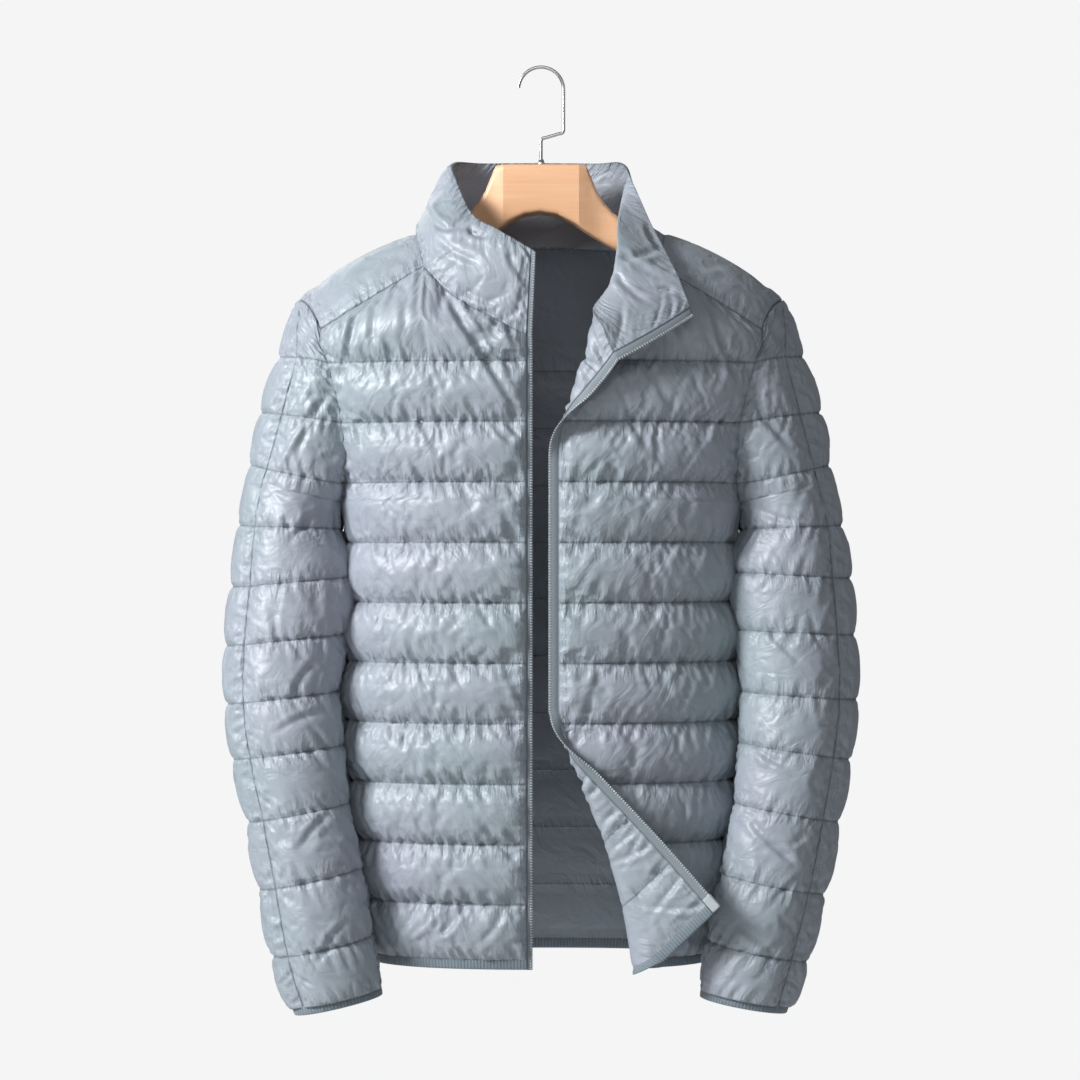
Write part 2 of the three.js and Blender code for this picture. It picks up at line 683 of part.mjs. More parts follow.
// Finishes
const finishes = {
  lightShell: { color: 0xaab6bf, roughness: 0.42, metalness: 0.0 },
  zip: { color: 0x737f89, roughness: 0.6, metalness: 0.0 },
  binding: { color: 0x6b7781, roughness: 0.7, metalness: 0.0 },
  zipMetal: { color: 0x9aa0a6, roughness: 0.35, metalness: 0.8 },
  wood: { color: 0xf3be94, roughness: 0.5, metalness: 0.0 },
  wire: { color: 0xc9ccd0, roughness: 0.25, metalness: 1.0 },
};

const jacket = new THREE.Group();

function addMesh(name, finish, geometry) {
  const mesh = new THREE.Mesh(geometry, new THREE.MeshStandardMaterial(finishes[finish]));
  mesh.name = name;
  jacket.add(mesh);
  return mesh;
}

// Body, yokes, sleeves and collar
const backBase = backGrid();
const grids = { back: backBase };
for (const side of [RIGHT, LEFT]) {
  const front = frontGrid(side);
  const yoke = yokeGrid(side, front, backBase);
  grids[side] = {
    front,
    yoke,
    sleeveFront: sleeveGrid(side, FRONT, yoke, front),
    sleeveBack: sleeveGrid(side, BACK, yoke, backBase),
  };
}

// Below the armhole the sleeve and the body press on each other, so the filling is thin there
function armpitPress(point) {
  const underarm = vec(Math.sign(point.x) * underarmX, 0, rowZ(underarmRow));
  return smooth(clamp(point.distanceTo(underarm) / armpitReach, 0, 1));
}

const lastColumn = (grid) => grid[0].length - 1;

// How far the filling raises a quilted panel
function quilted(puff, grid, firstFall, lastFall) {
  return (i, j, point) => puff * puffProfile(i, rowsPerBaffle)
    * edgeFall(j, lastColumn(grid), firstFall, lastFall) * armpitPress(point);
}

const panels = [];
const sideName = { [RIGHT]: 'right', [LEFT]: 'left' };
panels.push(makePanel('back', 'lightShell', grids.back, {
  outward: vec(0, 1, 0),
  insideEvery: rowsPerBaffle,
  puff: quilted(bodyPuff, grids.back, softFall, softFall),
}));
for (const side of [RIGHT, LEFT]) {
  const { front, yoke, sleeveFront, sleeveBack } = grids[side];
  const folded = side === LEFT;
  const frontPuff = quilted(bodyPuff, front, firmFall, softFall);
  panels.push(makePanel(`front_${sideName[side]}`, 'lightShell', front, {
    outward: vec(0, -1, 0),
    insideEvery: rowsPerBaffle,
    bend: folded ? turnOut : null,
    puff: (i, j, point) => frontPuff(i, j, point) * (folded ? foldPress(point) : 1),
  }));
  panels.push(makePanel(`yoke_${sideName[side]}`, 'lightShell', yoke, {
    outward: vec(0, 0, 1),
    puff: (i, j) => yokePuff * edgeFall(i, yokeSegments) * edgeFall(j, yokeColumns),
  }));
  for (const [face, grid] of [[FRONT, sleeveFront], [BACK, sleeveBack]]) {
    const faceName = face === FRONT ? 'front' : 'back';
    panels.push(makePanel(`sleeve_${faceName}_${sideName[side]}`, 'lightShell', grid, {
      outward: vec(0, face, 0),
      insideEvery: rowsPerBaffle,
      puff: quilted(sleevePuff, grid, firmFall, softFall),
    }));
  }
}
const panelNamed = (name) => panels.find((panel) => panel.name === name);

// The neck's base points, from the right front edge round the back to the left front edge
const frontRight = panelNamed('front_right');
const frontLeft = panelNamed('front_left');
const back = panelNamed('back');
const yokeNeck = (side) => panelNamed(`yoke_${sideName[side]}`).base.map((row) => row[0]);
const neck = [
  ...frontRight.base[0].slice(0, frontNeckColumns[RIGHT]),
  ...yokeNeck(RIGHT),
  ...back.base[0].slice(yokeColumns + 1, yokeColumns + backNeckColumns),
  ...yokeNeck(LEFT).reverse(),
  ...frontLeft.base[0].slice(0, frontNeckColumns[LEFT]).reverse(),
];
const collarBase = collarGrid(neck);
const collar = makePanel('collar', 'lightShell', collarBase, {
  outward: vec(1, 1, 0),
  puff: (i, j) => collarPuff * edgeFall(i, collarRows) * edgeFall(j, lastColumn(collarBase)),
});
panels.push(collar);

shareSeams(panels);
panels.forEach(stepBack);
for (const panel of panels) addMesh(panel.name, panel.finish, wallGeometry(panel));

// Bindings of the hem and the cuffs
const bandShift = wall / 2;
const sideColumn = (panel) => lastColumn(panel.base);
const hemEdge = [
  ...bottomEdge(frontRight, counting(0, sideColumn(frontRight))),
  ...bottomEdge(back, counting(1, sideColumn(back) - 1)),
  ...bottomEdge(frontLeft, counting(sideColumn(frontLeft), 0)),
];
const hemSections = bandSections(hemEdge, hemBandHeight, bandThickness, bandShift);
addMesh('hem_binding', 'binding', stripGeometry(hemSections, false));
for (const side of [RIGHT, LEFT]) {
  const front = panelNamed(`sleeve_front_${sideName[side]}`);
  const behind = panelNamed(`sleeve_back_${sideName[side]}`);
  const cuffEdge = [
    ...bottomEdge(front, counting(0, sideColumn(front))),
    ...bottomEdge(behind, counting(sideColumn(behind) - 1, 1)),
  ];
  const sections = bandSections(cuffEdge, cuffBandHeight, bandThickness, bandShift);
  addMesh(`cuff_binding_${sideName[side]}`, 'binding', stripGeometry(sections, true));
}

// Zip tapes, from the hem binding's foot up the front and the collar
function tapeEdge(front, collarColumn, collarInner) {
  const frontRows = columnEdge(front, 0, 1, counting(bodyRows, 0));
  const collarRowsUp = columnEdge(collar, collarColumn, collarInner, counting(1, collarRows));
  const foot = bottomEdge(front, [0])[0].away;
  const lowest = {
    base: frontRows[0].base.clone().addScaledVector(foot, hemBandHeight),
    outer: frontRows[0].outer.clone().addScaledVector(foot, hemBandHeight),
    away: frontRows[0].away,
  };
  return [lowest, ...frontRows, ...collarRowsUp];
}
const lastNeck = neck.length - 1;
const tapes = {
  [RIGHT]: tapeEdge(frontRight, 0, 1),
  [LEFT]: tapeEdge(frontLeft, lastNeck, lastNeck - 1),
};
for (const side of [RIGHT, LEFT]) {
  const sections = bandSections(tapes[side], tapeWidth[side], tapeThickness, bandShift);
  addMesh(`zip_tape_${sideName[side]}`, 'zip', stripGeometry(sections, false));
}

// The retainer box and slider, on the inner face of the left tape's foot
function addZipBox() {
  const [foot, next] = tapes[LEFT];
  const along = next.base.clone().sub(foot.base).normalize();
  const out = foot.outer.clone().sub(foot.base).normalize();
  const side = out.clone().cross(along).normalize();
  const depth = wall / 2 - tapeThickness / 2 - seamGap - boxSize.thickness / 2;
  const beside = tapeWidth[LEFT] / 2 + boxOverhang;
  const { width, length, thickness, edgeRadius } = boxSize;
  const geometry = new RoundedBoxGeometry(width, length, thickness, 1, edgeRadius);
  const box = addMesh('zip_box', 'zipMetal', geometry);
  const turn = new THREE.Matrix4().makeBasis(side, along, side.clone().cross(along));
  box.quaternion.setFromRotationMatrix(turn);
  box.position.copy(foot.base)
    .addScaledVector(along, boxSize.length / 2)
    .addScaledVector(foot.away, beside)
    .addScaledVector(out, depth);
}
addZipBox();

// Hanger: rounded sections along the shoulders, just under the yokes
function hangerSection({ x, top, bottom, halfDepth, squareness }) {
  const middle = (top + bottom) / 2;
  const halfHeight = (top - bottom) / 2;
  const points = [];
  for (let i = 0; i < hangerSides; i += 1) {
    const angle = i * 2 * Math.PI / hangerSides;
    const across = Math.sign(Math.cos(angle)) * Math.abs(Math.cos(angle)) ** squareness;
    const upward = Math.sign(Math.sin(angle)) * Math.abs(Math.sin(angle)) ** squareness;
    points.push(vec(x, halfDepth * across, middle + halfHeight * upward));
  }
  return points;
}

function hangerGeometry() {
  const arm = Array.from({ length: hangerArmSteps + 1 }, (_, i) => {
    const t = i / hangerArmSteps;
    const x = lerp(neckHalfWidth, hangerArmEnd, t);
    const top = ridgeZ(x) - hangerClearance;
    return {
      x,
      top,
      bottom: top - lerp(hangerArmHeight, hangerArmTipHeight, t),
      halfDepth: lerp(hangerArmDepth, hangerArmTipDepth, t),
      squareness: armSquareness,
    };
  });
  const half = [...hangerStations, ...arm];
  const mirrored = half.slice(1).map((station) => ({ ...station, x: -station.x })).reverse();
  const sections = [...mirrored, ...half].map(hangerSection);
  const points = sections.flat();
  const triangles = [];
  const quad = (a, b, c, d) => triangles.push([a, b, c], [a, c, d]);
  for (let i = 0; i < sections.length - 1; i += 1) {
    for (let j = 0; j < hangerSides; j += 1) {
      const next = (j + 1) % hangerSides;
      const here = i * hangerSides;
      const there = (i + 1) * hangerSides;
      quad(here + j, there + j, there + next, here + next);
    }
  }
  for (const [index, flip] of [[0, true], [sections.length - 1, false]]) {
    const start = index * hangerSides;
    for (let j = 1; j < hangerSides - 1; j += 1) {
      triangles.push(flip ? [start, start + j, start + j + 1] : [start, start + j + 1, start + j]);
    }
  }
  return solidFrom(points, triangles);
}
addMesh('hanger_wood', 'wood', hangerGeometry());

// Hook: a wire that rises from the wood, steps to one side, and bends over the rail
function hookPath() {
  const path = new THREE.CurvePath();
  const { low, high, corner } = hookStep;
  const legX = hookRadius;
  const stemFoot = hangerStations[0].top + seamGap;
  const line = (a, b) => path.add(new THREE.LineCurve3(a, b));
  const bend = (a, middle, b) => path.add(new THREE.QuadraticBezierCurve3(a, middle, b));
  line(vec(0, 0, stemFoot), vec(0, 0, low - corner));
  bend(vec(0, 0, low - corner), vec(0, 0, low), vec(corner, 0, low));
  line(vec(corner, 0, low), vec(legX - corner, 0, high));
  bend(vec(legX - corner, 0, high), vec(legX, 0, high), vec(legX, 0, high + corner));
  const arcMiddle = wireRadius - hookRadius;
  line(vec(legX, 0, high + corner), vec(legX, 0, arcMiddle));
  const arcPoint = (step) => {
    const angle = hookTurn * degrees * step / hookArcSteps;
    return vec(hookRadius * Math.cos(angle), 0, arcMiddle + hookRadius * Math.sin(angle));
  };
  for (let i = 0; i < hookArcSteps; i += 1) line(arcPoint(i), arcPoint(i + 1));
  return path;
}

function hookGeometry() {
  const shape = new THREE.Shape();
  shape.absarc(0, 0, wireRadius, 0, 2 * Math.PI);
  return new THREE.ExtrudeGeometry(shape, {
    extrudePath: hookPath(),
    steps: hookLengthSteps,
    curveSegments: hookCornerSteps,
    bevelEnabled: false,
  });
}
addMesh('hanger_hook', 'wire', hookGeometry());

export default jacket;
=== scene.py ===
# %% [markdown]
# # A quilted puffer jacket on a wooden hanger
# A light puffer jacket is sewn from flat panels of thin nylon with loose filling between two
# layers. Rows of stitches hold the layers together, so the filling swells between the rows and
# the cloth gathers into short puckers along each row. In this lesson every panel is drawn from a
# few pattern sizes, blown up with the cloth simulation, puckered, and given its finish.

# %% Load the frame
import json
import math
import bmesh
import bpy
import numpy as np
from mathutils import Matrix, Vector

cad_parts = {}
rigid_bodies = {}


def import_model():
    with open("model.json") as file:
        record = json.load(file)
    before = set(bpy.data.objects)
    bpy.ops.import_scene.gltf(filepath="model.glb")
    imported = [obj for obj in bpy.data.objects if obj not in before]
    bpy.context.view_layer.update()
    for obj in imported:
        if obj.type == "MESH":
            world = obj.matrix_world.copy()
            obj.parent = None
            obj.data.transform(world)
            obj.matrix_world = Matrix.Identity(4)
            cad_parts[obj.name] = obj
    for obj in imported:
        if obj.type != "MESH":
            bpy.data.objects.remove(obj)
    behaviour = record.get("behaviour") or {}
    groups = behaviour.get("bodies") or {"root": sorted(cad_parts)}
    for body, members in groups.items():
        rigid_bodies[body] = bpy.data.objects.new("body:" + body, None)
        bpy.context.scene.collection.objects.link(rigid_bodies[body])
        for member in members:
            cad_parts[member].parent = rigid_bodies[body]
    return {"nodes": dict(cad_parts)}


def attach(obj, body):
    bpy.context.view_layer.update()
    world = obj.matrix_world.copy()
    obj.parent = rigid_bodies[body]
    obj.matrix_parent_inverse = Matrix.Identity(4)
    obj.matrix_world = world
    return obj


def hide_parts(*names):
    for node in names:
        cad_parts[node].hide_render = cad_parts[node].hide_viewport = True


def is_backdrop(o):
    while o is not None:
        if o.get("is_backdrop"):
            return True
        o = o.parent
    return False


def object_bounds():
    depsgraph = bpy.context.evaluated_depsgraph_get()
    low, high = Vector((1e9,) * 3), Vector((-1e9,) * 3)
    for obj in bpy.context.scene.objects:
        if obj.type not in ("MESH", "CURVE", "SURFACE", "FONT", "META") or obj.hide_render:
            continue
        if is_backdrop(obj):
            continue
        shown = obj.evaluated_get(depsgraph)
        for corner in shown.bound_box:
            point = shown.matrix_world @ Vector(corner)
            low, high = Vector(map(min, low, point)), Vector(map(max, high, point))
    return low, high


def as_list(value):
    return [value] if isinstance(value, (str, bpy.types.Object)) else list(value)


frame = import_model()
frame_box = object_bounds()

MM = 0.001
RIGHT, LEFT = -1, 1
FRONT, BACK = -1, 1
SIDE_NAME = {RIGHT: "right", LEFT: "left"}
scene = bpy.context.scene
print("frame nodes:", len(frame["nodes"]))

# %% [markdown]
# ## Pattern sizes
# A pattern cutter writes sizes in millimetres, so the tables here do too, and the meshes are
# turned into metres at the end. The origin is the inside top of the hook, and the front looks
# along -Y. Right and left are the wearer's own, so the right side is at negative X.

# %% Body sizes
def table(columns, *rows):
    """Rows of numbers with named columns."""
    names = columns.split()
    return [dict(zip(names, row)) for row in rows]


def through(rows, key, at, column):
    """A column of a table as a smooth curve through its rows."""
    ordered = sorted(rows, key=lambda row: row[key])
    xs = np.array([row[key] for row in ordered], float)
    ys = np.array([row[column] for row in ordered], float)
    at = np.clip(at, xs[0], xs[-1])
    i = np.clip(np.searchsorted(xs, at, side="left") - 1, 0, len(xs) - 2)
    before, after = np.maximum(i - 1, 0), np.minimum(i + 2, len(xs) - 1)
    span = xs[i + 1] - xs[i]
    t = (at - xs[i]) / span
    start = span * (ys[i + 1] - ys[before]) / (xs[i + 1] - xs[before])
    end = span * (ys[after] - ys[i]) / (xs[after] - xs[i])
    return ((2 * t**3 - 3 * t**2 + 1) * ys[i] + (t**3 - 2 * t**2 + t) * start
            + (3 * t**2 - 2 * t**3) * ys[i + 1] + (t**3 - t**2) * end)


WALL = 2.0
BODY_PUFF, SLEEVE_PUFF, COLLAR_PUFF, YOKE_PUFF = 10.0, 7.0, 5.0, 1.2
FIRST_SEAM_Z, HEM_Z = -284.0, -841.0
BAFFLE_PITCH, ROWS_PER_BAFFLE, BODY_BAFFLES = 56.0, 3, 11
BODY_ROWS = BODY_BAFFLES * ROWS_PER_BAFFLE
SLEEVE_ROWS = BODY_ROWS + ROWS_PER_BAFFLE
UNDERARM_ROW, UNDERARM_X, ARMPIT_REACH = 10, 187.0, 110.0
NECK_HALF_WIDTH, NECK_SIDE_Z = 117.0, -161.0
RIDGE_SLOPE, RIDGE_DROOP = 0.30, 0.0022
SHOULDER_TIP_X, YOKE_ARM_X = 229.0, 206.0
YOKE_NECK_X = {FRONT: 109.0, BACK: 105.0}
YOKE_SLOPE = {FRONT: 0.6, BACK: 0.78}
BACK_NECK_Z, BACK_NECK_RISE = -174.0, 5.0
FRONT_EDGE_X = {RIGHT: 13.0, LEFT: 16.0}
ROUNDNESS = 2 / 2.4

BODY_SECTIONS = table(
    "z half_width front back middle",
    (-841, 163, 82, 88, 16),
    (-770, 175, 93, 96, 17),
    (-700, 184, 98, 98, 14),
    (-600, 186, 100, 98, 9),
    (-500, 183, 103, 99, 5),
    (-415, 187, 105, 100, 0),
    (-340, 213, 105, 100, 0),
    (-284, 235, 105, 100, 0),
)
ARMHOLE_EDGE = table("z x", (-415, 187), (-400, 185), (-366, 184), (-325, 189), (-284, 199), (-253, 206))
FRONT_NECKLINE = table("x z", (0, -261), (16, -259), (45, -244), (70, -231), (92, -214), (109, -195))
print("body sections:", len(BODY_SECTIONS), "from", HEM_Z, "to", FIRST_SEAM_Z, "mm")

# %% [markdown]
# The sleeves hang beside the body and swing forward to the cuff. Each row of the table is a
# level of their quilting: the outer and the inner point seen from the front, the half depth, and
# how far forward the middle is. The collar's rows give its top edge and the point that the cloth
# bends towards. On the wearer's left the collar rolls outward and shows its inside.

# %% Sleeve, collar and fold sizes
SLEEVE_COLUMNS = "row outer_x outer_z inner_x inner_z depth y"
SLEEVE_SECTIONS = {
    RIGHT: table(
        SLEEVE_COLUMNS,
        (3, 245, -277, 124, -288, 68, 0),
        (6, 260, -330, 134, -345, 65, 0),
        (9, 270, -380, 174, -404, 63, 0),
        (10, 274, -399, 187, -414.7, 62, 0),
        (12, 280, -437, 193, -440, 60, -5),
        (15, 287, -495, 181, -485, 56, -16),
        (18, 291, -550, 188, -538, 53, -26),
        (21, 290, -604, 195, -592, 51, -34),
        (24, 283, -655, 191, -643, 49, -42),
        (27, 269, -713, 186, -697, 47, -50),
        (30, 257, -776, 173, -757, 44, -59),
        (33, 245, -838, 163, -820, 40, -66),
        (36, 230, -886, 154, -868, 33, -70),
    ),
    LEFT: table(
        SLEEVE_COLUMNS,
        (3, 245, -277, 124, -288, 68, 0),
        (6, 260, -330, 134, -345, 65, 0),
        (9, 269, -380, 172, -404, 63, 0),
        (10, 272, -399, 187, -414.7, 62, 0),
        (12, 280, -437, 193, -440, 60, -5),
        (15, 287, -487, 182, -480, 56, -16),
        (18, 290, -540, 190, -534, 53, -26),
        (21, 291, -600, 193, -592, 51, -34),
        (24, 284, -655, 192, -640, 49, -42),
        (27, 273, -713, 186, -696, 47, -50),
        (30, 259, -780, 174, -762, 44, -59),
        (33, 242, -842, 161, -824, 40, -66),
        (36, 229, -884, 154, -870, 33, -70),
    ),
}
SLEEVE_SEAM_ANGLE = math.radians(44)
SLEEVE_SEAM_SWING = 2 * 5 / 14 - 1      # where that seam meets the yoke, from its front (-1) to its back (1)
CAP_BULGE, CAP_RISE = 1.5, 0.5
SLEEVE_NEARER = 2.5

COLLAR_SECTIONS = table(
    "at top_x top_y top_z bend_x bend_y bend_z",
    (0.00, -9, -101, -181, -11, -108, -220),
    (0.12, -40, -90, -162, -52, -100, -198),
    (0.22, -64, -62, -146, -92, -84, -168),
    (0.32, -80, -22, -108, -106, -30, -138),
    (0.40, -82, 20, -88, -100, 26, -128),
    (0.46, -52, 48, -85, -58, 50, -130),
    (0.50, 0, 54, -84, 0, 53, -130),
    (0.54, 50, 49, -85, 56, 50, -130),
    (0.60, 77, 26, -88, 90, 28, -126),
    (0.65, 87, -4, -108, 60, -2, -122),
    (0.71, 103, -42, -150, 38, -48, -124),
    (0.78, 117, -74, -182, 27, -96, -152),
    (0.86, 127, -104, -207, 34, -124, -194),
    (0.93, 132, -113, -222, 58, -136, -228),
    (1.00, 137, -115, -235, 108, -134, -256),
)
FOLDS = table(
    "x z tilt upward radius turn plane lean",
    (19.5, -370, 20.7, 1, 9, 158, -106, -0.02),
    (36, -652, 22.5, -1, 9, 160, -98, 0.05),
)
FOLD_REACH = 40.0
print("sleeve rows:", len(SLEEVE_SECTIONS[RIGHT]), "collar rows:", len(COLLAR_SECTIONS))

# %% [markdown]
# ## The shape of the body
# The trunk is a rounded box section that changes with height. Above the first quilting row the
# cloth leans in to the shoulder ridge. Every panel below is a grid of points on this surface, so
# neighbouring panels share their seams exactly.

# %% Body surface
def between(a, b, share):
    return a + (b - a) * share


def row_z(row):
    last_seam = BODY_ROWS - ROWS_PER_BAFFLE
    last_z = FIRST_SEAM_Z - (BODY_BAFFLES - 2) * BAFFLE_PITCH
    even = FIRST_SEAM_Z - (row - ROWS_PER_BAFFLE) * BAFFLE_PITCH / ROWS_PER_BAFFLE
    return np.where(row <= last_seam, even, between(last_z, HEM_Z, (row - last_seam) / ROWS_PER_BAFFLE))


def ridge_z(x):
    past = np.maximum(np.abs(x) - NECK_HALF_WIDTH, 0)
    return NECK_SIDE_Z - RIDGE_SLOPE * past - RIDGE_DROOP * past**2


def section(z, column):
    return through(BODY_SECTIONS, "z", np.minimum(z, FIRST_SEAM_Z), column)


def angle_at(x, z):
    """The angle round a level section that reaches a given distance from the middle."""
    return np.sign(x) * np.arcsin(np.clip(np.abs(x) / section(z, "half_width"), 0, 1) ** (1 / ROUNDNESS))


def body_point(face, angle, z):
    x = section(z, "half_width") * np.sign(angle) * np.abs(np.sin(angle)) ** ROUNDNESS
    middle = section(z, "middle")
    depth = -section(z, "front") if face == FRONT else section(z, "back")
    y = middle + (depth - middle) * np.abs(np.cos(angle)) ** ROUNDNESS
    rise = np.clip((z - FIRST_SEAM_Z) / (ridge_z(x) - FIRST_SEAM_Z), 0, 1)
    return np.stack([x, y * np.sqrt(1 - rise**2), z + 0 * x], -1)


def top_edge_z(face, x):
    reach = np.abs(x)
    past = np.maximum(reach - YOKE_NECK_X[face], 0)
    if face == FRONT:
        neckline = through(FRONT_NECKLINE, "x", reach, "z")
    else:
        share = np.minimum(reach, YOKE_NECK_X[BACK]) / YOKE_NECK_X[BACK]
        neckline = BACK_NECK_Z + BACK_NECK_RISE * (1 - share**2)
    return neckline - YOKE_SLOPE[face] * past


def side_angle(row):
    armhole = angle_at(through(ARMHOLE_EDGE, "z", row_z(row), "x"), row_z(row))
    return np.where(row >= UNDERARM_ROW, math.pi / 2, armhole)


def panel_points(face, angle_of, row):
    """Points of a front or back panel. angle_of gives the angle of its columns at a row."""
    top_x = body_point(face, angle_of(0 * row), FIRST_SEAM_Z + 0 * row)[..., 0]
    top_rows = between(top_edge_z(face, top_x), FIRST_SEAM_Z, row / ROWS_PER_BAFFLE)
    z = np.where(row >= ROWS_PER_BAFFLE, row_z(row), top_rows)
    return body_point(face, angle_of(row), z)


def front_angle(side, share):
    edge = FRONT_EDGE_X[side]
    return lambda row: side * between(angle_at(edge, row_z(row)), side_angle(row), share)


def back_angle(share):
    return lambda row: share * side_angle(row)


def yoke_points(side, swing, share):
    """Points of a yoke: swing goes from the front seam (-1) over the ridge to the back seam (1)."""
    face = FRONT if np.mean(swing) < 0 else BACK
    start = angle_at(FRONT_EDGE_X[side], FIRST_SEAM_Z) if face == FRONT else 0.0
    end = angle_at(YOKE_ARM_X, FIRST_SEAM_Z)
    corner = (angle_at(YOKE_NECK_X[face], FIRST_SEAM_Z) - start) / (end - start)
    columns = between(corner, 1, share)
    angle_of = front_angle(side, columns) if face == FRONT else back_angle(side * columns)
    edge = panel_points(face, angle_of, 0.0 * (swing + share))
    ridge_x = between(NECK_HALF_WIDTH, SHOULDER_TIP_X, share)
    x = side * between(ridge_x, np.abs(edge[..., 0]), swing**2)
    rise = (edge[..., 2] - FIRST_SEAM_Z) / (ridge_z(edge[..., 0]) - FIRST_SEAM_Z)
    lean = np.abs(swing) * np.sqrt(1 - rise**2)
    z = FIRST_SEAM_Z + (ridge_z(x) - FIRST_SEAM_Z) * np.sqrt(1 - lean**2)
    return body_point(face, angle_at(x, z), z)


print("chest point at the middle front:", body_point(FRONT, np.array(0.0), np.array(-400.0)).round(1))

# %% [markdown]
# ## Cutting the panels
# Each panel is a grid with a point about every 4 mm, close enough for a pucker and light enough
# to simulate. Five grid lines lie between two rows of the pattern, so a quilting row always
# falls on a grid line and can be held still while the cloth between swells.

# %% Body and yoke grids
LINES_PER_ROW = 5
CLOTH_STEP = 4.0
LINES_PER_BAFFLE = LINES_PER_ROW * ROWS_PER_BAFFLE


def rows_of(count):
    return np.arange(count * LINES_PER_ROW + 1) / LINES_PER_ROW


def spread(corner, length):
    """Column shares with one exactly at a corner."""
    first = max(2, round(corner * length / CLOTH_STEP))
    second = max(2, round((1 - corner) * length / CLOTH_STEP))
    to_corner = np.linspace(0, corner, first, endpoint=False)
    return np.concatenate([to_corner, np.linspace(corner, 1, second + 1)])


def front_grid(side):
    start = angle_at(FRONT_EDGE_X[side], FIRST_SEAM_Z)
    end = angle_at(YOKE_ARM_X, FIRST_SEAM_Z)
    corner = (angle_at(YOKE_NECK_X[FRONT], FIRST_SEAM_Z) - start) / (end - start)
    shares = spread(corner, 216)
    return panel_points(FRONT, front_angle(side, shares[None, :]), rows_of(BODY_ROWS)[:, None])


def back_grid():
    corner = angle_at(YOKE_NECK_X[BACK], FIRST_SEAM_Z) / angle_at(YOKE_ARM_X, FIRST_SEAM_Z)
    half = spread(corner, 232)
    shares = np.concatenate([-half[:0:-1], half])
    return panel_points(BACK, back_angle(shares[None, :]), rows_of(BODY_ROWS)[:, None])


def yoke_grid(side):
    share = np.linspace(0, 1, 30)[None, :]
    front = yoke_points(side, np.linspace(-1, 0, 19, endpoint=False)[:, None], share)
    back = yoke_points(side, np.linspace(0, 1, 20)[:, None], share)
    return np.concatenate([front, back])


print("grids of a front, the back and a yoke:",
      front_grid(RIGHT).shape[:2], back_grid().shape[:2], yoke_grid(RIGHT).shape[:2])

# %% [markdown]
# A tailored sleeve is a tube of two panels. Each ring of it is an oval between the outer and the
# inner point of the table. Above the underarm the ring ends at the armhole, so the sleeve is drawn
# toward that edge, and the top baffle runs up to the yoke.

# %% Sleeve grids
SLEEVE_WIDTH = {FRONT: 118, BACK: 204}


def sleeve_grid(side, face):
    """Half a sleeve, from the seam down its outside to the armhole and the inner seam."""
    count = round(SLEEVE_WIDTH[face] / CLOTH_STEP)
    u = np.linspace(0, 1, count + 1)
    swing = between(SLEEVE_SEAM_SWING, face, u)
    share = 1 + 0 * u
    top = np.where((swing < 0)[:, None], yoke_points(side, np.minimum(swing, -1e-6), share),
                   yoke_points(side, np.maximum(swing, 0), share))
    angle_of = front_angle(side, 1.0) if face == FRONT else back_angle(float(side))

    def ring(row, edge):
        value = lambda column: through(SLEEVE_SECTIONS[side], "row", row, column)
        outer = np.array([side * value("outer_x"), value("y"), value("outer_z")])
        near = SLEEVE_NEARER * min(max((row - UNDERARM_ROW) / 4, 0), 1)
        inner = np.array([side * (value("inner_x") - near), value("y"), value("inner_z")])
        middle, across = (outer + inner) / 2, (outer - inner) / 2
        end = math.pi
        if row < UNDERARM_ROW:
            reach = np.dot(edge - middle, across) / np.dot(across, across)
            end = math.atan2(abs(edge[1] - middle[1]) / value("depth"), reach)
        angle = between(-face * SLEEVE_SEAM_ANGLE, end, u)
        points = middle + np.cos(angle)[:, None] * across
        points[:, 1] += face * value("depth") * np.sin(angle)
        if row <= UNDERARM_ROW:
            points += (edge - points[-1]) * (u**2)[:, None]
        return points

    edge_at = lambda row: panel_points(face, angle_of, np.array(float(row)))
    first = ring(ROWS_PER_BAFFLE, edge_at(ROWS_PER_BAFFLE))
    grid = [top]
    for row in rows_of(SLEEVE_ROWS)[1:]:
        edge = edge_at(row)
        if row >= ROWS_PER_BAFFLE:
            grid.append(ring(row, edge))
            continue
        t = row / ROWS_PER_BAFFLE
        bulge = CAP_BULGE * math.sin(math.pi * t) * (1 - u**2)
        points = between(top, first, t) + bulge[:, None] * np.array([side, 0, CAP_RISE])
        grid.append(points + (edge - points[-1]) * (u**2)[:, None])
    return np.array(grid)


print("grid of a sleeve's front panel:", sleeve_grid(RIGHT, FRONT).shape[:2])

# %% [markdown]
# The left front hangs with its edge turned out at the neck and at the hem. The cloth is rolled
# round a slanted line, as a hand would fold it, and the filling is pressed flat in the fold.

# %% Fold the left front
FOLD_PRESS, FOLD_PRESS_PLACE, FOLD_PRESS_REACH = 0.85, 12.0, 22.0


def fold_place(fold, points):
    tilt = math.radians(fold["tilt"])
    along = np.array([math.sin(tilt), 0, fold["upward"] * math.cos(tilt)])
    past = np.array([-abs(along[2]), 0, fold["upward"] * along[0]])
    offset = points - np.array([fold["x"], 0, fold["z"]])
    acts = fold["upward"] * offset[..., 2] > -FOLD_REACH
    return past, offset @ past, offset @ along, acts


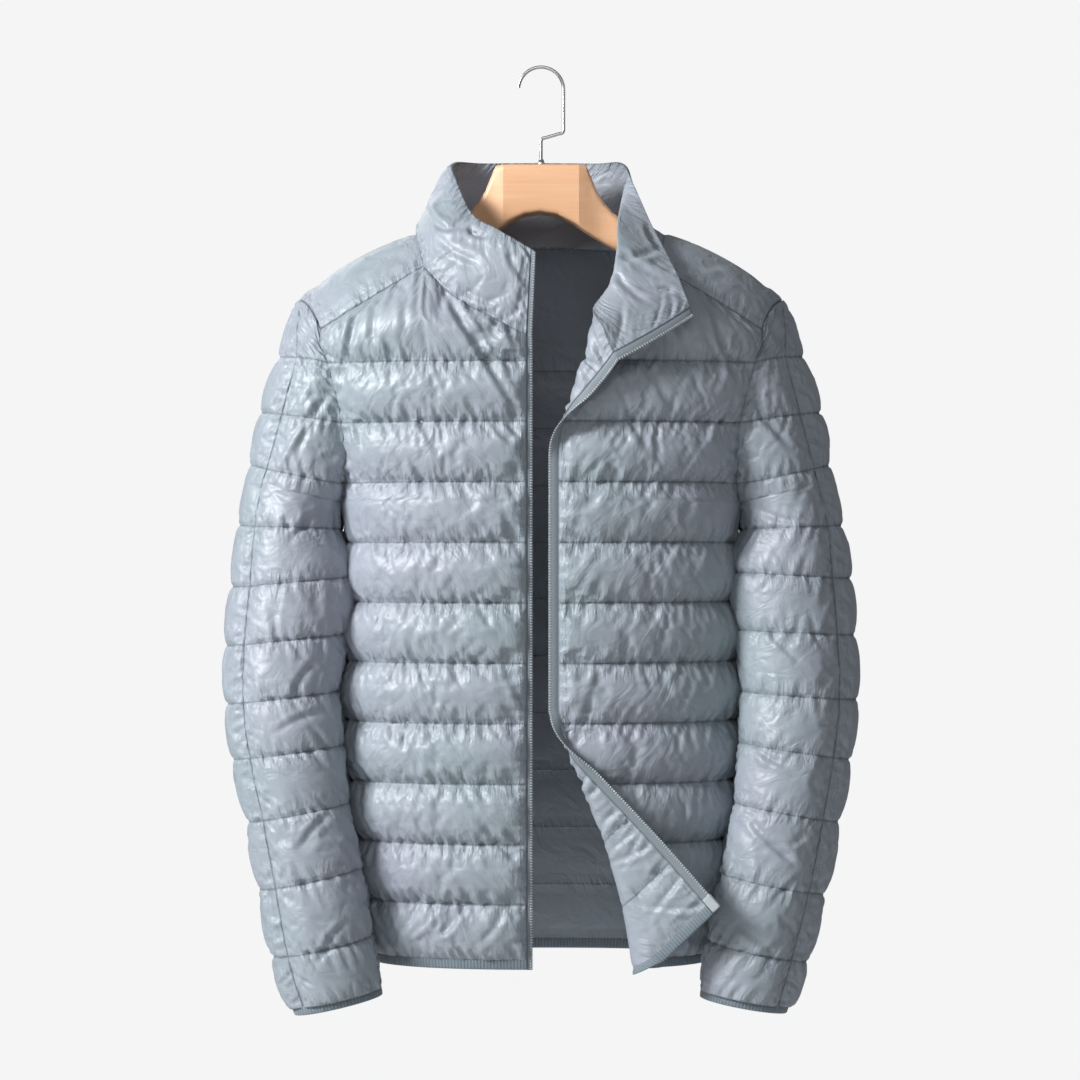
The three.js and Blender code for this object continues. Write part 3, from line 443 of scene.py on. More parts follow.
def turn_out(points):
    """Turns the two corners of the left front outward round small rolls."""
    moved = points.copy()
    for fold in FOLDS:
        past, distance, run, acts = fold_place(fold, points)
        plane = fold["plane"] + np.maximum(run, 0) * fold["lean"]
        bent = np.minimum(distance / fold["radius"], math.radians(fold["turn"]))
        straight = distance - fold["radius"] * bent
        inside = fold["radius"] - (plane - points[..., 1])
        across = inside * np.sin(bent) + straight * np.cos(bent)
        rise = fold["radius"] - inside * np.cos(bent) + straight * np.sin(bent)
        turned = points + (across - distance)[..., None] * past
        turned[..., 1] = plane - rise
        moved = np.where(((distance > 0) & acts)[..., None], turned, moved)
    return moved


def fold_press(points):
    """The filling is pressed flat in a fold."""
    left = np.ones(points.shape[:-1])
    for fold in FOLDS:
        _, distance, _, acts = fold_place(fold, points)
        pressed = FOLD_PRESS * np.exp(-(((distance - FOLD_PRESS_PLACE) / FOLD_PRESS_REACH) ** 2))
        left *= np.where(acts, 1 - pressed, 1)
    return left


flat_grids = {"back": back_grid()}
for side in (RIGHT, LEFT):
    flat_grids[f"front_{SIDE_NAME[side]}"] = front_grid(side)
    flat_grids[f"yoke_{SIDE_NAME[side]}"] = yoke_grid(side)
    for face, word in ((FRONT, "front"), (BACK, "back")):
        flat_grids[f"sleeve_{word}_{SIDE_NAME[side]}"] = sleeve_grid(side, face)
for name, grid in flat_grids.items():
    print(name, grid.shape[:2], "points, lowest z", round(float(grid[..., 2].min())), "mm")

# %% [markdown]
# The collar is one padded band. It stands on the neckline, which is made of the top edges of the
# fronts, the yokes and the back, so its foot is measured from their grids.

# %% Collar grid
def lengths_along(points):
    steps = np.linalg.norm(np.diff(points, axis=0), axis=-1)
    return np.concatenate([np.zeros((1,) + steps.shape[1:]), np.cumsum(steps, axis=0)])


def neck_line():
    right, left, back = (flat_grids[n] for n in ("front_right", "front_left", "back"))
    corner = lambda grid, x: int(np.argmin(np.abs(np.abs(grid[0, :, 0]) - x)))
    right_end, left_end = corner(right, YOKE_NECK_X[FRONT]), corner(left, YOKE_NECK_X[FRONT])
    middle = back.shape[1] // 2
    back_end = corner(back[:, middle:], YOKE_NECK_X[BACK])
    return np.concatenate([
        right[0, :right_end],
        flat_grids["yoke_right"][:, 0],
        back[0, middle - back_end + 1:middle + back_end],
        flat_grids["yoke_left"][::-1, 0],
        turn_out(left)[0, :left_end][::-1],
    ])


def collar_grid():
    neck = neck_line()
    run = lengths_along(neck)
    even = np.linspace(0, run[-1], round(run[-1] / CLOTH_STEP) + 1)
    foot = np.stack([np.interp(even, run, neck[:, k]) for k in range(3)], -1)
    at = even / run[-1]
    point = lambda word: np.stack([through(COLLAR_SECTIONS, "at", at, f"{word}_{k}") for k in "xyz"], -1)
    t = np.linspace(0, 1, 26)[:, None, None]
    return (1 - t) ** 2 * foot + 2 * t * (1 - t) * point("bend") + t**2 * point("top")


flat_grids["collar"] = collar_grid()
collar_foot = lengths_along(flat_grids["collar"][0])[-1]
print("collar", flat_grids["collar"].shape[:2], "foot", round(float(collar_foot)), "mm")

# %% [markdown]
# ## Filling the panels
# The outside of a panel stands off its inside by the wall and by the filling. The filling is
# highest halfway between two quilting rows, thins out at the panel's edges, and is pressed flat
# in the armpit and inside a fold. This is the start shape that the simulation then relaxes.

# %% What a panel knows
BAFFLE_ROUNDNESS = 2.5


def grid_normals(grid):
    down = np.gradient(grid, axis=0)
    across = np.gradient(grid, axis=1)
    normal = np.cross(across, down)
    return normal / np.maximum(np.linalg.norm(normal, axis=-1, keepdims=True), 1e-9)


def fade(distance, reach):
    return 1 - np.exp(-((np.maximum(distance, 0) / reach) ** 1.3))


class Panel:
    """One cut piece: inside points, outside points, and which grid lines are sewn."""

    def __init__(self, name, grid, outward, puff, quilted=True, edge_reach=(10, 10), bend=None,
                 press=None, free=None, notch=0.0):
        self.name, self.grid, self.bend, self.quilted = name, grid, bend, quilted
        middle = grid_normals(grid)[grid.shape[0] // 2, grid.shape[1] // 2]
        self.facing = 1 if np.dot(middle, outward) > 0 else -1
        self.normals = grid_normals(grid) * self.facing
        self.measure()
        line = np.arange(grid.shape[0])[:, None]
        share = (line % LINES_PER_BAFFLE) / LINES_PER_BAFFLE
        self.sewn_lines = line[:, 0] % LINES_PER_BAFFLE == 0 if quilted else np.zeros(grid.shape[0], bool)
        if quilted:
            self.profile = notch + (1 - notch) * (1 - np.abs(2 * share - 1) ** BAFFLE_ROUNDNESS)
        else:
            self.profile = fade(self.down, edge_reach[0]) * fade(self.down[-1:] - self.down, edge_reach[0])
        self.profile = self.profile * fade(self.along, edge_reach[0])
        self.profile = self.profile * fade(self.along[:, -1:] - self.along, edge_reach[1])
        if press is not None:
            self.profile = self.profile * press(grid)
        self.free = free(grid) if free else np.ones(grid.shape[:2])
        self.puff = puff * self.free
        self.raise_outside(self.puff * self.profile)

    def measure(self):
        """Lengths along the rows and down the columns, in millimetres."""
        self.along = lengths_along(self.grid.swapaxes(0, 1)).T
        self.down = lengths_along(self.grid)

    def raise_outside(self, height):
        raised = self.grid + self.normals * (WALL + height)[..., None]
        self.base = self.bend(self.grid) if self.bend else self.grid
        self.outer = self.bend(raised) if self.bend else raised

    def edge_mask(self):
        edge = np.zeros(self.grid.shape[:2], bool)
        edge[[0, -1], :] = True
        edge[:, [0, -1]] = True
        return edge


print("share of the filling 5, 10 and 20 mm from an edge:", fade(np.array([5, 10, 20]), 10).round(2))

# %% [markdown]
# Now the ten panels are cut. Where a sleeve hangs against the body, over the sleeve's cap and in
# the turned half of the collar there is less filling, so each panel can name what presses on it.

# %% Cut the panels
CAP_PRESS, CAP_PRESS_Z, CAP_PRESS_REACH = 0.55, -310.0, 50.0
ROLL_PRESS, ROLL_PRESS_X, ROLL_PRESS_REACH = 0.9, 25.0, 30.0
SLEEVE_NOTCH = 0.42      # how much of the filling stays on a sleeve's quilting rows


def armpit_press(points):
    underarm = np.stack([np.sign(points[..., 0]) * UNDERARM_X, 0 * points[..., 0],
                         0 * points[..., 0] + float(row_z(np.array(UNDERARM_ROW)))], -1)
    t = np.clip(np.linalg.norm(points - underarm, axis=-1) / ARMPIT_REACH, 0, 1)
    return t * t * (3 - 2 * t)


def sleeve_press(points):
    """The filling is thin in the armpit and over the sleeve's cap."""
    near_cap = np.clip((points[..., 2] - CAP_PRESS_Z) / CAP_PRESS_REACH, 0, 1)
    return armpit_press(points) * (1 - CAP_PRESS * near_cap)


def roll_press(points):
    """The left half of the collar is turned over, and its filling is pressed thin there."""
    return 1 - ROLL_PRESS * np.clip((points[..., 0] - ROLL_PRESS_X) / ROLL_PRESS_REACH, 0, 1)


panels = {}


def cut(name, outward, puff, **how):
    panels[name] = Panel(name, flat_grids[name], outward, puff, **how)


cut("back", (0, 1, 0), BODY_PUFF, edge_reach=(16, 16), press=armpit_press)
cut("front_right", (0, -1, 0), BODY_PUFF, edge_reach=(10, 16), press=armpit_press)
cut("front_left", (0, -1, 0), BODY_PUFF, edge_reach=(10, 16), bend=turn_out,
    press=lambda points: armpit_press(points) * fold_press(points))
for side in (RIGHT, LEFT):
    cut(f"yoke_{SIDE_NAME[side]}", (0, 0, 1), YOKE_PUFF, quilted=False)
    for face, word in ((FRONT, "front"), (BACK, "back")):
        cut(f"sleeve_{word}_{SIDE_NAME[side]}", (0, face, 0), SLEEVE_PUFF, edge_reach=(8, 12),
            press=sleeve_press, notch=SLEEVE_NOTCH)
cut("collar", (1, 1, 0), COLLAR_PUFF, quilted=False, free=roll_press)
print("panels:", len(panels), "points:", sum(p.grid.shape[0] * p.grid.shape[1] for p in panels.values()))

# %% [markdown]
# ## Blowing up the baffles
# Real filling pushes the cloth out like air. The cloth simulation does the same with pressure:
# the sewn lines and the edges are pinned, the cloth is a little larger than its start shape, and
# twenty frames without gravity let it swell and buckle between the seams. No point may move more
# than the cap, so that a panel stays inside the space that its solid holds.

# %% Cloth simulation
SWELL_FRAMES = 20
SWELL_CAP = {"back": 4.0, "front": 4.0, "sleeve": 3.0, "yoke": 0.8, "collar": 3.0}
NYLON_CLOTH = dict(
    quality=4,
    mass=0.1,
    tension_stiffness=12,
    compression_stiffness=12,
    shear_stiffness=6,
    bending_stiffness=0.4,
    vertex_group_mass="sewn",
    use_pressure=True,
    uniform_pressure_force=4,
    shrink_min=-0.022,
)


def quads(rows, columns, flip):
    i, j = np.meshgrid(np.arange(rows - 1), np.arange(columns - 1), indexing="ij")
    a = (i * columns + j).ravel()
    corners = [a, a + columns, a + columns + 1, a + 1]
    return np.stack(corners[::-1] if flip else corners, -1)


def new_mesh(name, points, faces):
    """A mesh object from points in millimetres."""
    mesh = bpy.data.meshes.new(name)
    mesh.from_pydata((np.asarray(points, float) * MM).tolist(), [], [list(map(int, f)) for f in faces])
    mesh.shade_smooth()
    made = bpy.data.objects.new(name, mesh)
    scene.collection.objects.link(made)
    return made


def swell(chosen):
    """Runs the cloth simulation on all the chosen panels at once."""
    sheets = {}
    for panel in chosen:
        shape = panel.grid.shape[:2]
        sheet = new_mesh(f"swell_{panel.name}", panel.outer.reshape(-1, 3), quads(*shape, panel.facing > 0))
        held = panel.edge_mask() | panel.sewn_lines[:, None]
        group = sheet.vertex_groups.new(name="sewn")
        group.add(np.flatnonzero(held.ravel()).tolist(), 1.0, "REPLACE")
        cloth = sheet.modifiers.new("swell", "CLOTH")
        for word, value in NYLON_CLOTH.items():
            setattr(cloth.settings, word, value)
        cloth.settings.effector_weights.gravity = 0
        cloth.collision_settings.use_collision = False
        cloth.point_cache.frame_end = SWELL_FRAMES
        sheets[panel.name] = sheet
    for number in range(1, SWELL_FRAMES + 1):
        scene.frame_set(number)
    ready = bpy.context.evaluated_depsgraph_get()
    for panel in chosen:
        sheet = sheets[panel.name]
        seen = sheet.evaluated_get(ready).to_mesh()
        flat = np.zeros(len(seen.vertices) * 3)
        seen.vertices.foreach_get("co", flat)
        moved = flat.reshape(panel.outer.shape) / MM - panel.outer
        length = np.linalg.norm(moved, axis=-1, keepdims=True)
        cap = SWELL_CAP[panel.name.split("_")[0]]
        share = np.minimum(1, cap / np.maximum(length, 1e-6)) * panel.free[..., None]
        panel.outer = panel.outer + moved * share
        print(f"{panel.name}: the cloth moved {length.mean():.2f} mm on average, {length.max():.1f} at most")
        bpy.data.objects.remove(sheet)
    scene.frame_set(1)


swell(list(panels.values()))

# %% [markdown]
# ## Puckers
# The thread draws the cloth up, so short puckers stand along every quilting row. They lean
# outward and down from the front edge on each side. The simulation is too coarse for the finest
# of them, so the grid is made twice as fine and the puckers are pressed in one by one, each with
# its own place, length, depth and lean from a seeded generator.

# %% Finer grids and puckers
PUCKER_SPACING, PUCKER_REACH = 6.5, 19.0
PUCKER_WIDTH, PUCKER_WIDENING = 1.5, 1.7
SLANT_SPREAD, BEND_SPREAD = 0.22, 0.006
PRESSED_SHARE, RAISED_DEPTH = 0.72, -0.7     # most puckers are pressed in, the others stand out
OVER_SEAM = 3.0                              # a pucker starts this far before its seam


def finer(grid):
    """Puts a point between each two, on a smooth curve through four."""
    for axis in (0, 1):
        g = np.moveaxis(grid, axis, 0)
        ext = np.concatenate([2 * g[:1] - g[1:2], g, 2 * g[-1:] - g[-2:-1]])
        middle = (9 * (ext[1:-2] + ext[2:-1]) - ext[:-3] - ext[3:]) / 16
        out = np.empty((2 * g.shape[0] - 1,) + g.shape[1:])
        out[0::2], out[1::2] = g, middle
        grid = np.moveaxis(out, 0, axis)
    return grid


def gather(height, along, across, rng, spacing, reach, depth, lean):
    """Presses a row of puckers into a height map, on the side of a seam where across is positive."""
    first, last = float(along.min()), float(along.max())
    place = first - rng.uniform(0, spacing)
    inside = [(across >= -OVER_SEAM).any(axis=k) & (across <= reach * 1.8).any(axis=k) for k in (1, 0)]
    window = np.ix_(*(np.flatnonzero(lines) for lines in inside))
    a, c = along[window], across[window]
    total = np.zeros_like(a)
    while place < last + spacing:
        size = rng.uniform(0.25, 1.0) ** 1.5
        length = reach * (0.45 + 1.2 * size)
        width = PUCKER_WIDTH + PUCKER_WIDENING * size * rng.uniform(0.7, 1.3)
        slant = lean + rng.normal(0, SLANT_SPREAD)
        bend = rng.normal(0, BEND_SPREAD)
        shift = a - place - slant * c - bend * c * c
        fall = np.clip(1 - np.abs(c) / length, 0, 1) ** 0.8 * np.clip((c + OVER_SEAM) / OVER_SEAM, 0, 1)
        deep = depth * (0.35 + 0.9 * size) * (1 if rng.random() < PRESSED_SHARE else RAISED_DEPTH)
        crease = np.exp(-(np.abs(shift / width) ** 1.35))
        ridge = 0.5 * np.exp(-(((shift - 1.9 * width) / width) ** 2))
        total -= deep * fall * (crease - ridge)
        place += spacing * rng.uniform(0.45, 1.7)
    height[window] += total


def pucker(panel, seed, lean, depth):
    """Fine outside points with the puckers of every quilting row and every edge seam."""
    spacing, reach = PUCKER_SPACING, PUCKER_REACH
    rng = np.random.default_rng(seed)
    outer = finer(panel.outer)
    along, down = finer(panel.along[..., None])[..., 0], finer(panel.down[..., None])[..., 0]
    height = np.zeros(along.shape)
    if panel.quilted:
        for line in range(0, outer.shape[0], 2 * LINES_PER_BAFFLE):
            across = down - down[line]
            if line < outer.shape[0] - 1:
                gather(height, along, across, rng, spacing, reach, depth, lean)
            if line > 0:
                gather(height, along, -across, rng, spacing, reach, depth, -lean)
    else:
        gather(height, along, down, rng, spacing, reach, 0.8 * depth, lean)
        gather(height, along, down[-1:] - down, rng, spacing * 1.2, reach, 0.6 * depth, -lean)
    gather(height, down, along, rng, spacing * 1.1, reach * 0.8, depth * 0.8, 0.5)
    gather(height, down, along[:, -1:] - along, rng, spacing * 1.1, reach * 0.8, depth * 0.8, 0.4)
    return outer, along, down, height


print("a pucker row is worked out for", sum(p.sewn_lines.sum() for p in panels.values()), "quilting lines")

# %% [markdown]
# ## Long folds
# Besides the puckers, a hanging jacket has a few long folds where the cloth is dragged: from the
# neck down the front edge, from the armholes, and across the collar. Each row of the table is
# one fold seen from the front, from its start to its end, with its width and depth. A negative
# depth raises a ridge. The left half of the garment gets similar folds with their own sizes.

# %% Drag folds
DRAG_COLUMNS = "x1 z1 x2 z2 width depth"
DRAG_STRENGTH, DRAG_WANDER = 1.5, 2.5
DRAG_FOLDS = {
    "front_right": [
        (-89, -215, -33, -309, 3.6, 2.2),
        (-84, -213, -26, -300, 3.4, -1.6),
        (-42, -339, -27, -362, 2.8, 1.6),
        (-58, -262, -24, -330, 3.0, 1.4),
        (-72, -250, -20, -285, 2.6, 1.2),
        (-168, -232, -190, -322, 3.2, 1.8),
        (-176, -238, -186, -296, 2.6, -1.2),
        (-150, -228, -158, -270, 3.0, 1.1),
        (-120, -212, -128, -262, 3.2, 1.0),
        (-100, -820, -62, -778, 3.0, 1.8),
        (-140, -824, -108, -776, 3.2, 1.6),
        (-60, -826, -28, -786, 3.0, 1.5),
        (-128, -826, -86, -790, 2.6, -1.1),
        (-34, -420, -16, -470, 2.8, 1.2),
        (-30, -560, -15, -610, 2.8, 1.1),
    ],
    "front_left": [
        (160, -232, 183, -306, 3.2, 1.8),
        (150, -228, 172, -290, 2.6, -1.2),
        (120, -214, 132, -272, 3.2, 1.2),
        (90, -262, 120, -330, 3.4, 1.4),
        (70, -300, 100, -372, 3.2, 1.2),
        (60, -480, 34, -530, 3.0, 1.2),
        (140, -780, 172, -828, 3.2, 1.5),
        (60, -560, 40, -620, 3.0, 1.2),
    ],
    "sleeve_front_right": [
        (-196, -310, -232, -372, 3.4, 1.8),
        (-204, -330, -250, -384, 3.0, -1.3),
        (-200, -420, -238, -452, 3.2, 1.5),
        (-206, -560, -236, -602, 3.2, 1.4),
        (-200, -610, -250, -628, 3.0, 1.2),
        (-190, -700, -226, -736, 3.0, 1.3),
        (-176, -800, -210, -842, 3.0, 1.4),
    ],
    "sleeve_front_left": [
        (196, -312, 236, -368, 3.4, 1.7),
        (204, -420, 244, -436, 3.2, 1.5),
        (206, -520, 240, -566, 3.0, 1.4),
        (198, -640, 232, -662, 3.2, 1.3),
        (190, -702, 236, -752, 3.0, 1.4),
        (180, -800, 214, -830, 3.0, 1.3),
    ],
    "back": [
        (-140, -260, -176, -340, 3.6, 1.6),
        (150, -250, 178, -344, 3.4, 1.8),
        (-60, -200, -30, -262, 3.2, 1.1),
        (70, -204, 44, -270, 3.2, 1.2),
        (-110, -780, -70, -828, 3.0, 1.3),
        (96, -790, 130, -830, 3.0, 1.2),
    ],
    "yoke_right": [
        (-120, -182, -180, -196, 4.0, 1.3),
        (-128, -190, -196, -226, 3.4, -0.9),
    ],
    "yoke_left": [
        (122, -184, 176, -194, 4.0, 1.2),
        (132, -196, 192, -218, 3.4, -0.9),
    ],
    "collar": [
        (-99, -155, -68, -157, 3.4, 2.2),
        (-68, -157, -49, -170, 3.2, 2.4),
        (-96, -168, -58, -196, 3.6, 1.4),
        (-80, -210, -40, -236, 3.4, 1.5),
        (-30, -178, -14, -214, 3.0, 1.2),
        (-104, -128, -88, -160, 3.2, -1.4),
        (72, -187, 111, -180, 3.6, 2.4),
        (78, -178, 116, -206, 3.2, -1.4),
        (68, -200, 96, -232, 3.4, 1.5),
        (100, -150, 112, -182, 3.0, 1.6),
        (84, -214, 126, -220, 3.2, 1.4),
    ],
}


def drag(name, points, height):
    """Presses the long folds of a panel into its height map."""
    x, z = points[..., 0], points[..., 2]
    for fold in table(DRAG_COLUMNS, *DRAG_FOLDS.get(name, ())):
        run = np.array([fold["x2"] - fold["x1"], fold["z2"] - fold["z1"]], float)
        length = np.linalg.norm(run)
        run /= length
        at = (x - fold["x1"]) * run[0] + (z - fold["z1"]) * run[1]
        off = (x - fold["x1"]) * run[1] - (z - fold["z1"]) * run[0]
        off = off - DRAG_WANDER * np.sin(at / length * math.pi * 1.3)
        ends = np.clip(np.minimum(at, length - at) / (0.3 * length) + 0.25, 0, 1)
        trough = np.exp(-((off / fold["width"]) ** 2))
        ridge = 0.5 * np.exp(-(((off - 2.1 * fold["width"]) / fold["width"]) ** 2))
        lobe = trough - ridge
        height -= DRAG_STRENGTH * fold["depth"] * ends**1.5 * lobe * (np.abs(off) < 6 * fold["width"])


print("long folds:", sum(len(rows) for rows in DRAG_FOLDS.values()))

# %% [markdown]
# ## Closing each panel
# A panel is finished as a closed shell: the puckered outside, a calmer inside that is the
# lining, and a rim between them at the seams. The mesh also carries how far each point is from a
# seam and where it lies along and down the panel, for the finish to read.

# %% Rims, seams and linings
LINING_PUFF, SHOWN_LINING_PUFF = 2.5, 6.0
DEEPEST, HIGHEST = -3.4, 2.4
LINING_DEEPEST, LINING_HIGHEST = -2.4, 2.6
LINING_SEED_STEP = 50
LINING_ROWS = dict(spacing=7.0, reach=17.0, depth=1.5)
LINING_ZIP_EDGE = dict(spacing=10.0, reach=34.0, depth=3.0, lean=0.5)
LINING_FAR_EDGE = dict(spacing=9.0, reach=26.0, depth=1.7, lean=0.5)
SEAM_REACH = 30.0        # the mesh carries the distance from a seam up to this one
SHOWN_LININGS = ("front_left", "collar")


def boundary(rows, columns):
    """The edge points of a grid in order, as row and column numbers."""
    top = [(0, j) for j in range(columns)]
    end = [(i, columns - 1) for i in range(1, rows)]
    foot = [(rows - 1, j) for j in range(columns - 2, -1, -1)]
    start = [(i, 0) for i in range(rows - 2, 0, -1)]
    return np.array(top + end + foot + start)


def add_floats(mesh, **values):
    for name, data in values.items():
        attribute = mesh.attributes.new(name, "FLOAT", "POINT")
        attribute.data.foreach_set("value", np.ascontiguousarray(data, np.float32))


def edge_distance(along, down):
    """Millimetres to the nearest edge of a panel."""
    return np.minimum(np.minimum(along, along[:, -1:] - along), np.minimum(down, down[-1:] - down))


def seam_distance(panel, along, down):
    """Millimetres to the nearest seam or quilting row."""
    near = edge_distance(along, down)
    if panel.quilted:
        for line in range(0, down.shape[0], 2 * LINES_PER_BAFFLE):
            near = np.minimum(near, np.abs(down - down[line]))
    return np.clip(near, 0, SEAM_REACH)


def gathered_lining(panel, inside, along, down, seed):
    """Puckers and folds on a lining that shows, with deep gathers beside the zip."""
    height = np.zeros(along.shape)
    rng = np.random.default_rng(seed + LINING_SEED_STEP)
    last = inside.shape[0] - 1
    for line in range(0, last + 1, 2 * LINES_PER_BAFFLE if panel.quilted else last):
        gather(height, along, down - down[line], rng, **LINING_ROWS, lean=0.2)
        gather(height, along, down[line] - down, rng, **LINING_ROWS, lean=-0.2)
    gather(height, down, along, rng, **LINING_ZIP_EDGE)
    gather(height, down, along[:, -1:] - along, rng, **LINING_FAR_EDGE)
    if panel.name == "collar":
        drag("collar", inside, height)
    height = np.clip(height * np.clip(edge_distance(along, down) / 4, 0, 1), LINING_DEEPEST, LINING_HIGHEST)
    return inside - grid_normals(inside) * panel.facing * height[..., None]


print("points round the rim of the back:", len(boundary(*panels["back"].grid.shape[:2])))

# %% [markdown]
# Every panel is closed in the same way, with its own seed, lean and depth of puckers.


def close_panel(panel, seed, lean, depth):
    fine_lining = panel.name in SHOWN_LININGS
    outer, along, down, height = pucker(panel, seed, lean, depth)
    drag(panel.name, outer, height)
    near = seam_distance(panel, along, down)
    height = height * np.clip(edge_distance(along, down) / 3, 0, 1) * finer(panel.free[..., None])[..., 0]
    normals = grid_normals(outer) * panel.facing
    outer = outer + normals * np.clip(height, DEEPEST, HIGHEST)[..., None]
    puff = (SHOWN_LINING_PUFF if fine_lining else LINING_PUFF) * panel.profile * panel.quilted
    inside = panel.grid - panel.normals * puff[..., None]
    inside = panel.bend(inside) if panel.bend else inside
    lining_along, lining_down = panel.along, panel.down
    lining_near = SEAM_REACH * panel.profile
    if fine_lining:
        lining_along, lining_down, lining_near = along, down, near
        inside = gathered_lining(panel, finer(inside), along, down, seed)
    rim = finer(panel.base)
    rows, columns = outer.shape[:2]
    loop = boundary(rows, columns)
    ring_out = loop[:, 0] * columns + loop[:, 1]
    ring_in = rows * columns + np.arange(len(loop))
    at_rim = (loop[:, 0], loop[:, 1])
    points = np.concatenate([outer.reshape(-1, 3), rim[at_rim], inside.reshape(-1, 3)])
    faces = list(quads(rows, columns, panel.facing > 0))
    turn = np.roll(np.arange(len(loop)), -1)
    side = np.stack([ring_out, ring_out[turn], ring_in[turn], ring_in], -1)
    faces += list(side[:, ::-1] if panel.facing > 0 else side)
    start = len(points) - inside.shape[0] * inside.shape[1]
    faces += list(quads(*inside.shape[:2], panel.facing < 0) + start)
    made = new_mesh(panel.name + "_quilt", points, faces)
    carried = {"seam": (near, lining_near), "along": (along, lining_along), "down": (down, lining_down)}
    for word, (fine, lining) in carried.items():
        add_floats(made.data, **{word: np.concatenate([fine.ravel(), fine[at_rim], lining.ravel()])})
    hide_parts(panel.name)
    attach(made, "root")
    panel.finished = outer
    panel.lining = inside
    print(panel.name, len(made.data.polygons), "faces")
    return made


QUILTS = table(
    "name seed lean depth",
    ("back", 11, 0.0, 1.8),
    ("front_right", 12, -0.35, 2.0),
    ("front_left", 13, -0.35, 2.0),
    ("yoke_right", 14, 0.2, 1.3),
    ("yoke_left", 15, 0.2, 1.3),
    ("sleeve_front_right", 16, 0.3, 1.9),
    ("sleeve_back_right", 17, 0.2, 1.7),
    ("sleeve_front_left", 18, 0.3, 1.9),
    ("sleeve_back_left", 19, 0.2, 1.7),
    ("collar", 20, 0.25, 1.2),
)
quilts = {}
for row in QUILTS:
    panel = panels[row["name"]]
    quilts[panel.name] = close_panel(panel, row["seed"], row["lean"], row["depth"])

# %% [markdown]
# ## Stitches
# Every quilting row is a line of lock stitches, and each stitch is a short bead of thread that
# sinks between two needle holes. All the stitches are small stretched beads, joined in one mesh.

# %% Quilting stitches
STITCH_PITCH, STITCH_LENGTH, STITCH_WIDTH, STITCH_HEIGHT = 3.2, 2.5, 0.55, 0.45
EDGE_STITCH_LINE = 2


def unit(vectors):
    return vectors / np.maximum(np.linalg.norm(vectors, axis=-1, keepdims=True), 1e-9)


def even_places(points, pitch, *followers):
    """Points at an even pitch along a line, and the same places on other lines beside it."""
    run = lengths_along(points)
    places = np.arange(pitch / 2, run[-1], pitch)
    pick = lambda data: np.stack([np.interp(places, run, data[:, k]) for k in range(data.shape[1])], -1)
    return [pick(points)] + [pick(data) for data in followers]


def stitch_line(line, normals):
    """Corner points and faces of the stitches along a line, each a stretched bead of eight faces."""
    points, off = even_places(line, STITCH_PITCH, normals)
    way = unit(np.gradient(points, axis=0))
    side = unit(np.cross(way, unit(off))) * STITCH_WIDTH / 2
    high, half = unit(off) * STITCH_HEIGHT, way * STITCH_LENGTH / 2
    corners = np.stack([points + e for e in (-half, side, half, -side, high, -high)], 1)
    top = [(k, (k + 1) % 4, 4) for k in range(4)]
    bottom = [((k + 1) % 4, k, 5) for k in range(4)]
    pattern = np.array(top + bottom)
    faces = (np.arange(len(points))[:, None, None] * 6 + pattern).reshape(-1, 3)
    return corners.reshape(-1, 3), faces


def gathered(parts):
    """Joins lists of points and faces into one."""
    points, faces, start = [], [], 0
    for some_points, some_faces in parts:
        points.append(some_points)
        faces.extend((some_faces + start).tolist())
        start += len(some_points)
    return np.concatenate(points), faces


stitch_parts = []
for panel in panels.values():
    normals = grid_normals(panel.finished) * panel.facing
    last = panel.finished.shape[0] - 1
    rows = range(2 * LINES_PER_BAFFLE, last, 2 * LINES_PER_BAFFLE)
    beside_edges = (EDGE_STITCH_LINE, last - EDGE_STITCH_LINE)
    for line in rows if panel.quilted else beside_edges:
        stitch_parts.append(stitch_line(panel.finished[line], normals[line]))
for panel in (panels["front_right"], panels["front_left"]):
    normals = grid_normals(panel.finished) * panel.facing
    stitch_parts.append(stitch_line(panel.finished[:, EDGE_STITCH_LINE], normals[:, EDGE_STITCH_LINE]))
stitches = new_mesh("quilting_stitches", *gathered(stitch_parts))
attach(stitches, "root")
print("stitches:", len(stitches.data.polygons) // 8)

# %% [markdown]
# ## Swept pieces
# A binding, a zip tape, a tooth, the wooden bar and the wire all have one section that is carried
# along a line. Each is a stack of rings of points, so they share the same skin of faces.

# %% Rings and skins
def around(count):
    """Even angles round a section."""
    return np.arange(count) * 2 * math.pi / count


def squared(wave, power):
    """Makes a round section squarer: power 1 is round and 0 is square."""
    return np.sign(wave) * np.abs(wave) ** power


def skin(count, corners, ring=False):
    """Faces round a stack of rings, closed in a ring or with a cap at each end."""
    faces = []
    for i in range(count if ring else count - 1):
        here, there = i * corners, (i + 1) % count * corners
        for a in range(corners):
            b = (a + 1) % corners
            faces.append((here + a, here + b, there + b, there + a))
    if not ring:
        faces.append(tuple(range(corners - 1, -1, -1)))
        faces.append(tuple(range((count - 1) * corners, count * corners)))
    return faces


def swept(name, points, faces):
    """A closed piece with its faces turned outward."""
    made = new_mesh(name, points.reshape(-1, 3), faces)
    work = bmesh.new()
    work.from_mesh(made.data)
    if work.calc_volume(signed=True) < 0:
        bmesh.ops.reverse_faces(work, faces=work.faces)
    work.to_mesh(made.data)
    work.free()
    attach(made, "root")
    return made


print("a rod of two rings with six corners has", len(skin(2, 6)), "faces")

# %% [markdown]
# ## Bindings
# The hem and the cuffs are bound with a strip of elastic folded over the raw edge. Pulled tight
# when it is sewn, it draws in again and gets fine cross ribs. It is a rounded strip swept along
# the panels' edges, and its section breathes a little from rib to rib.

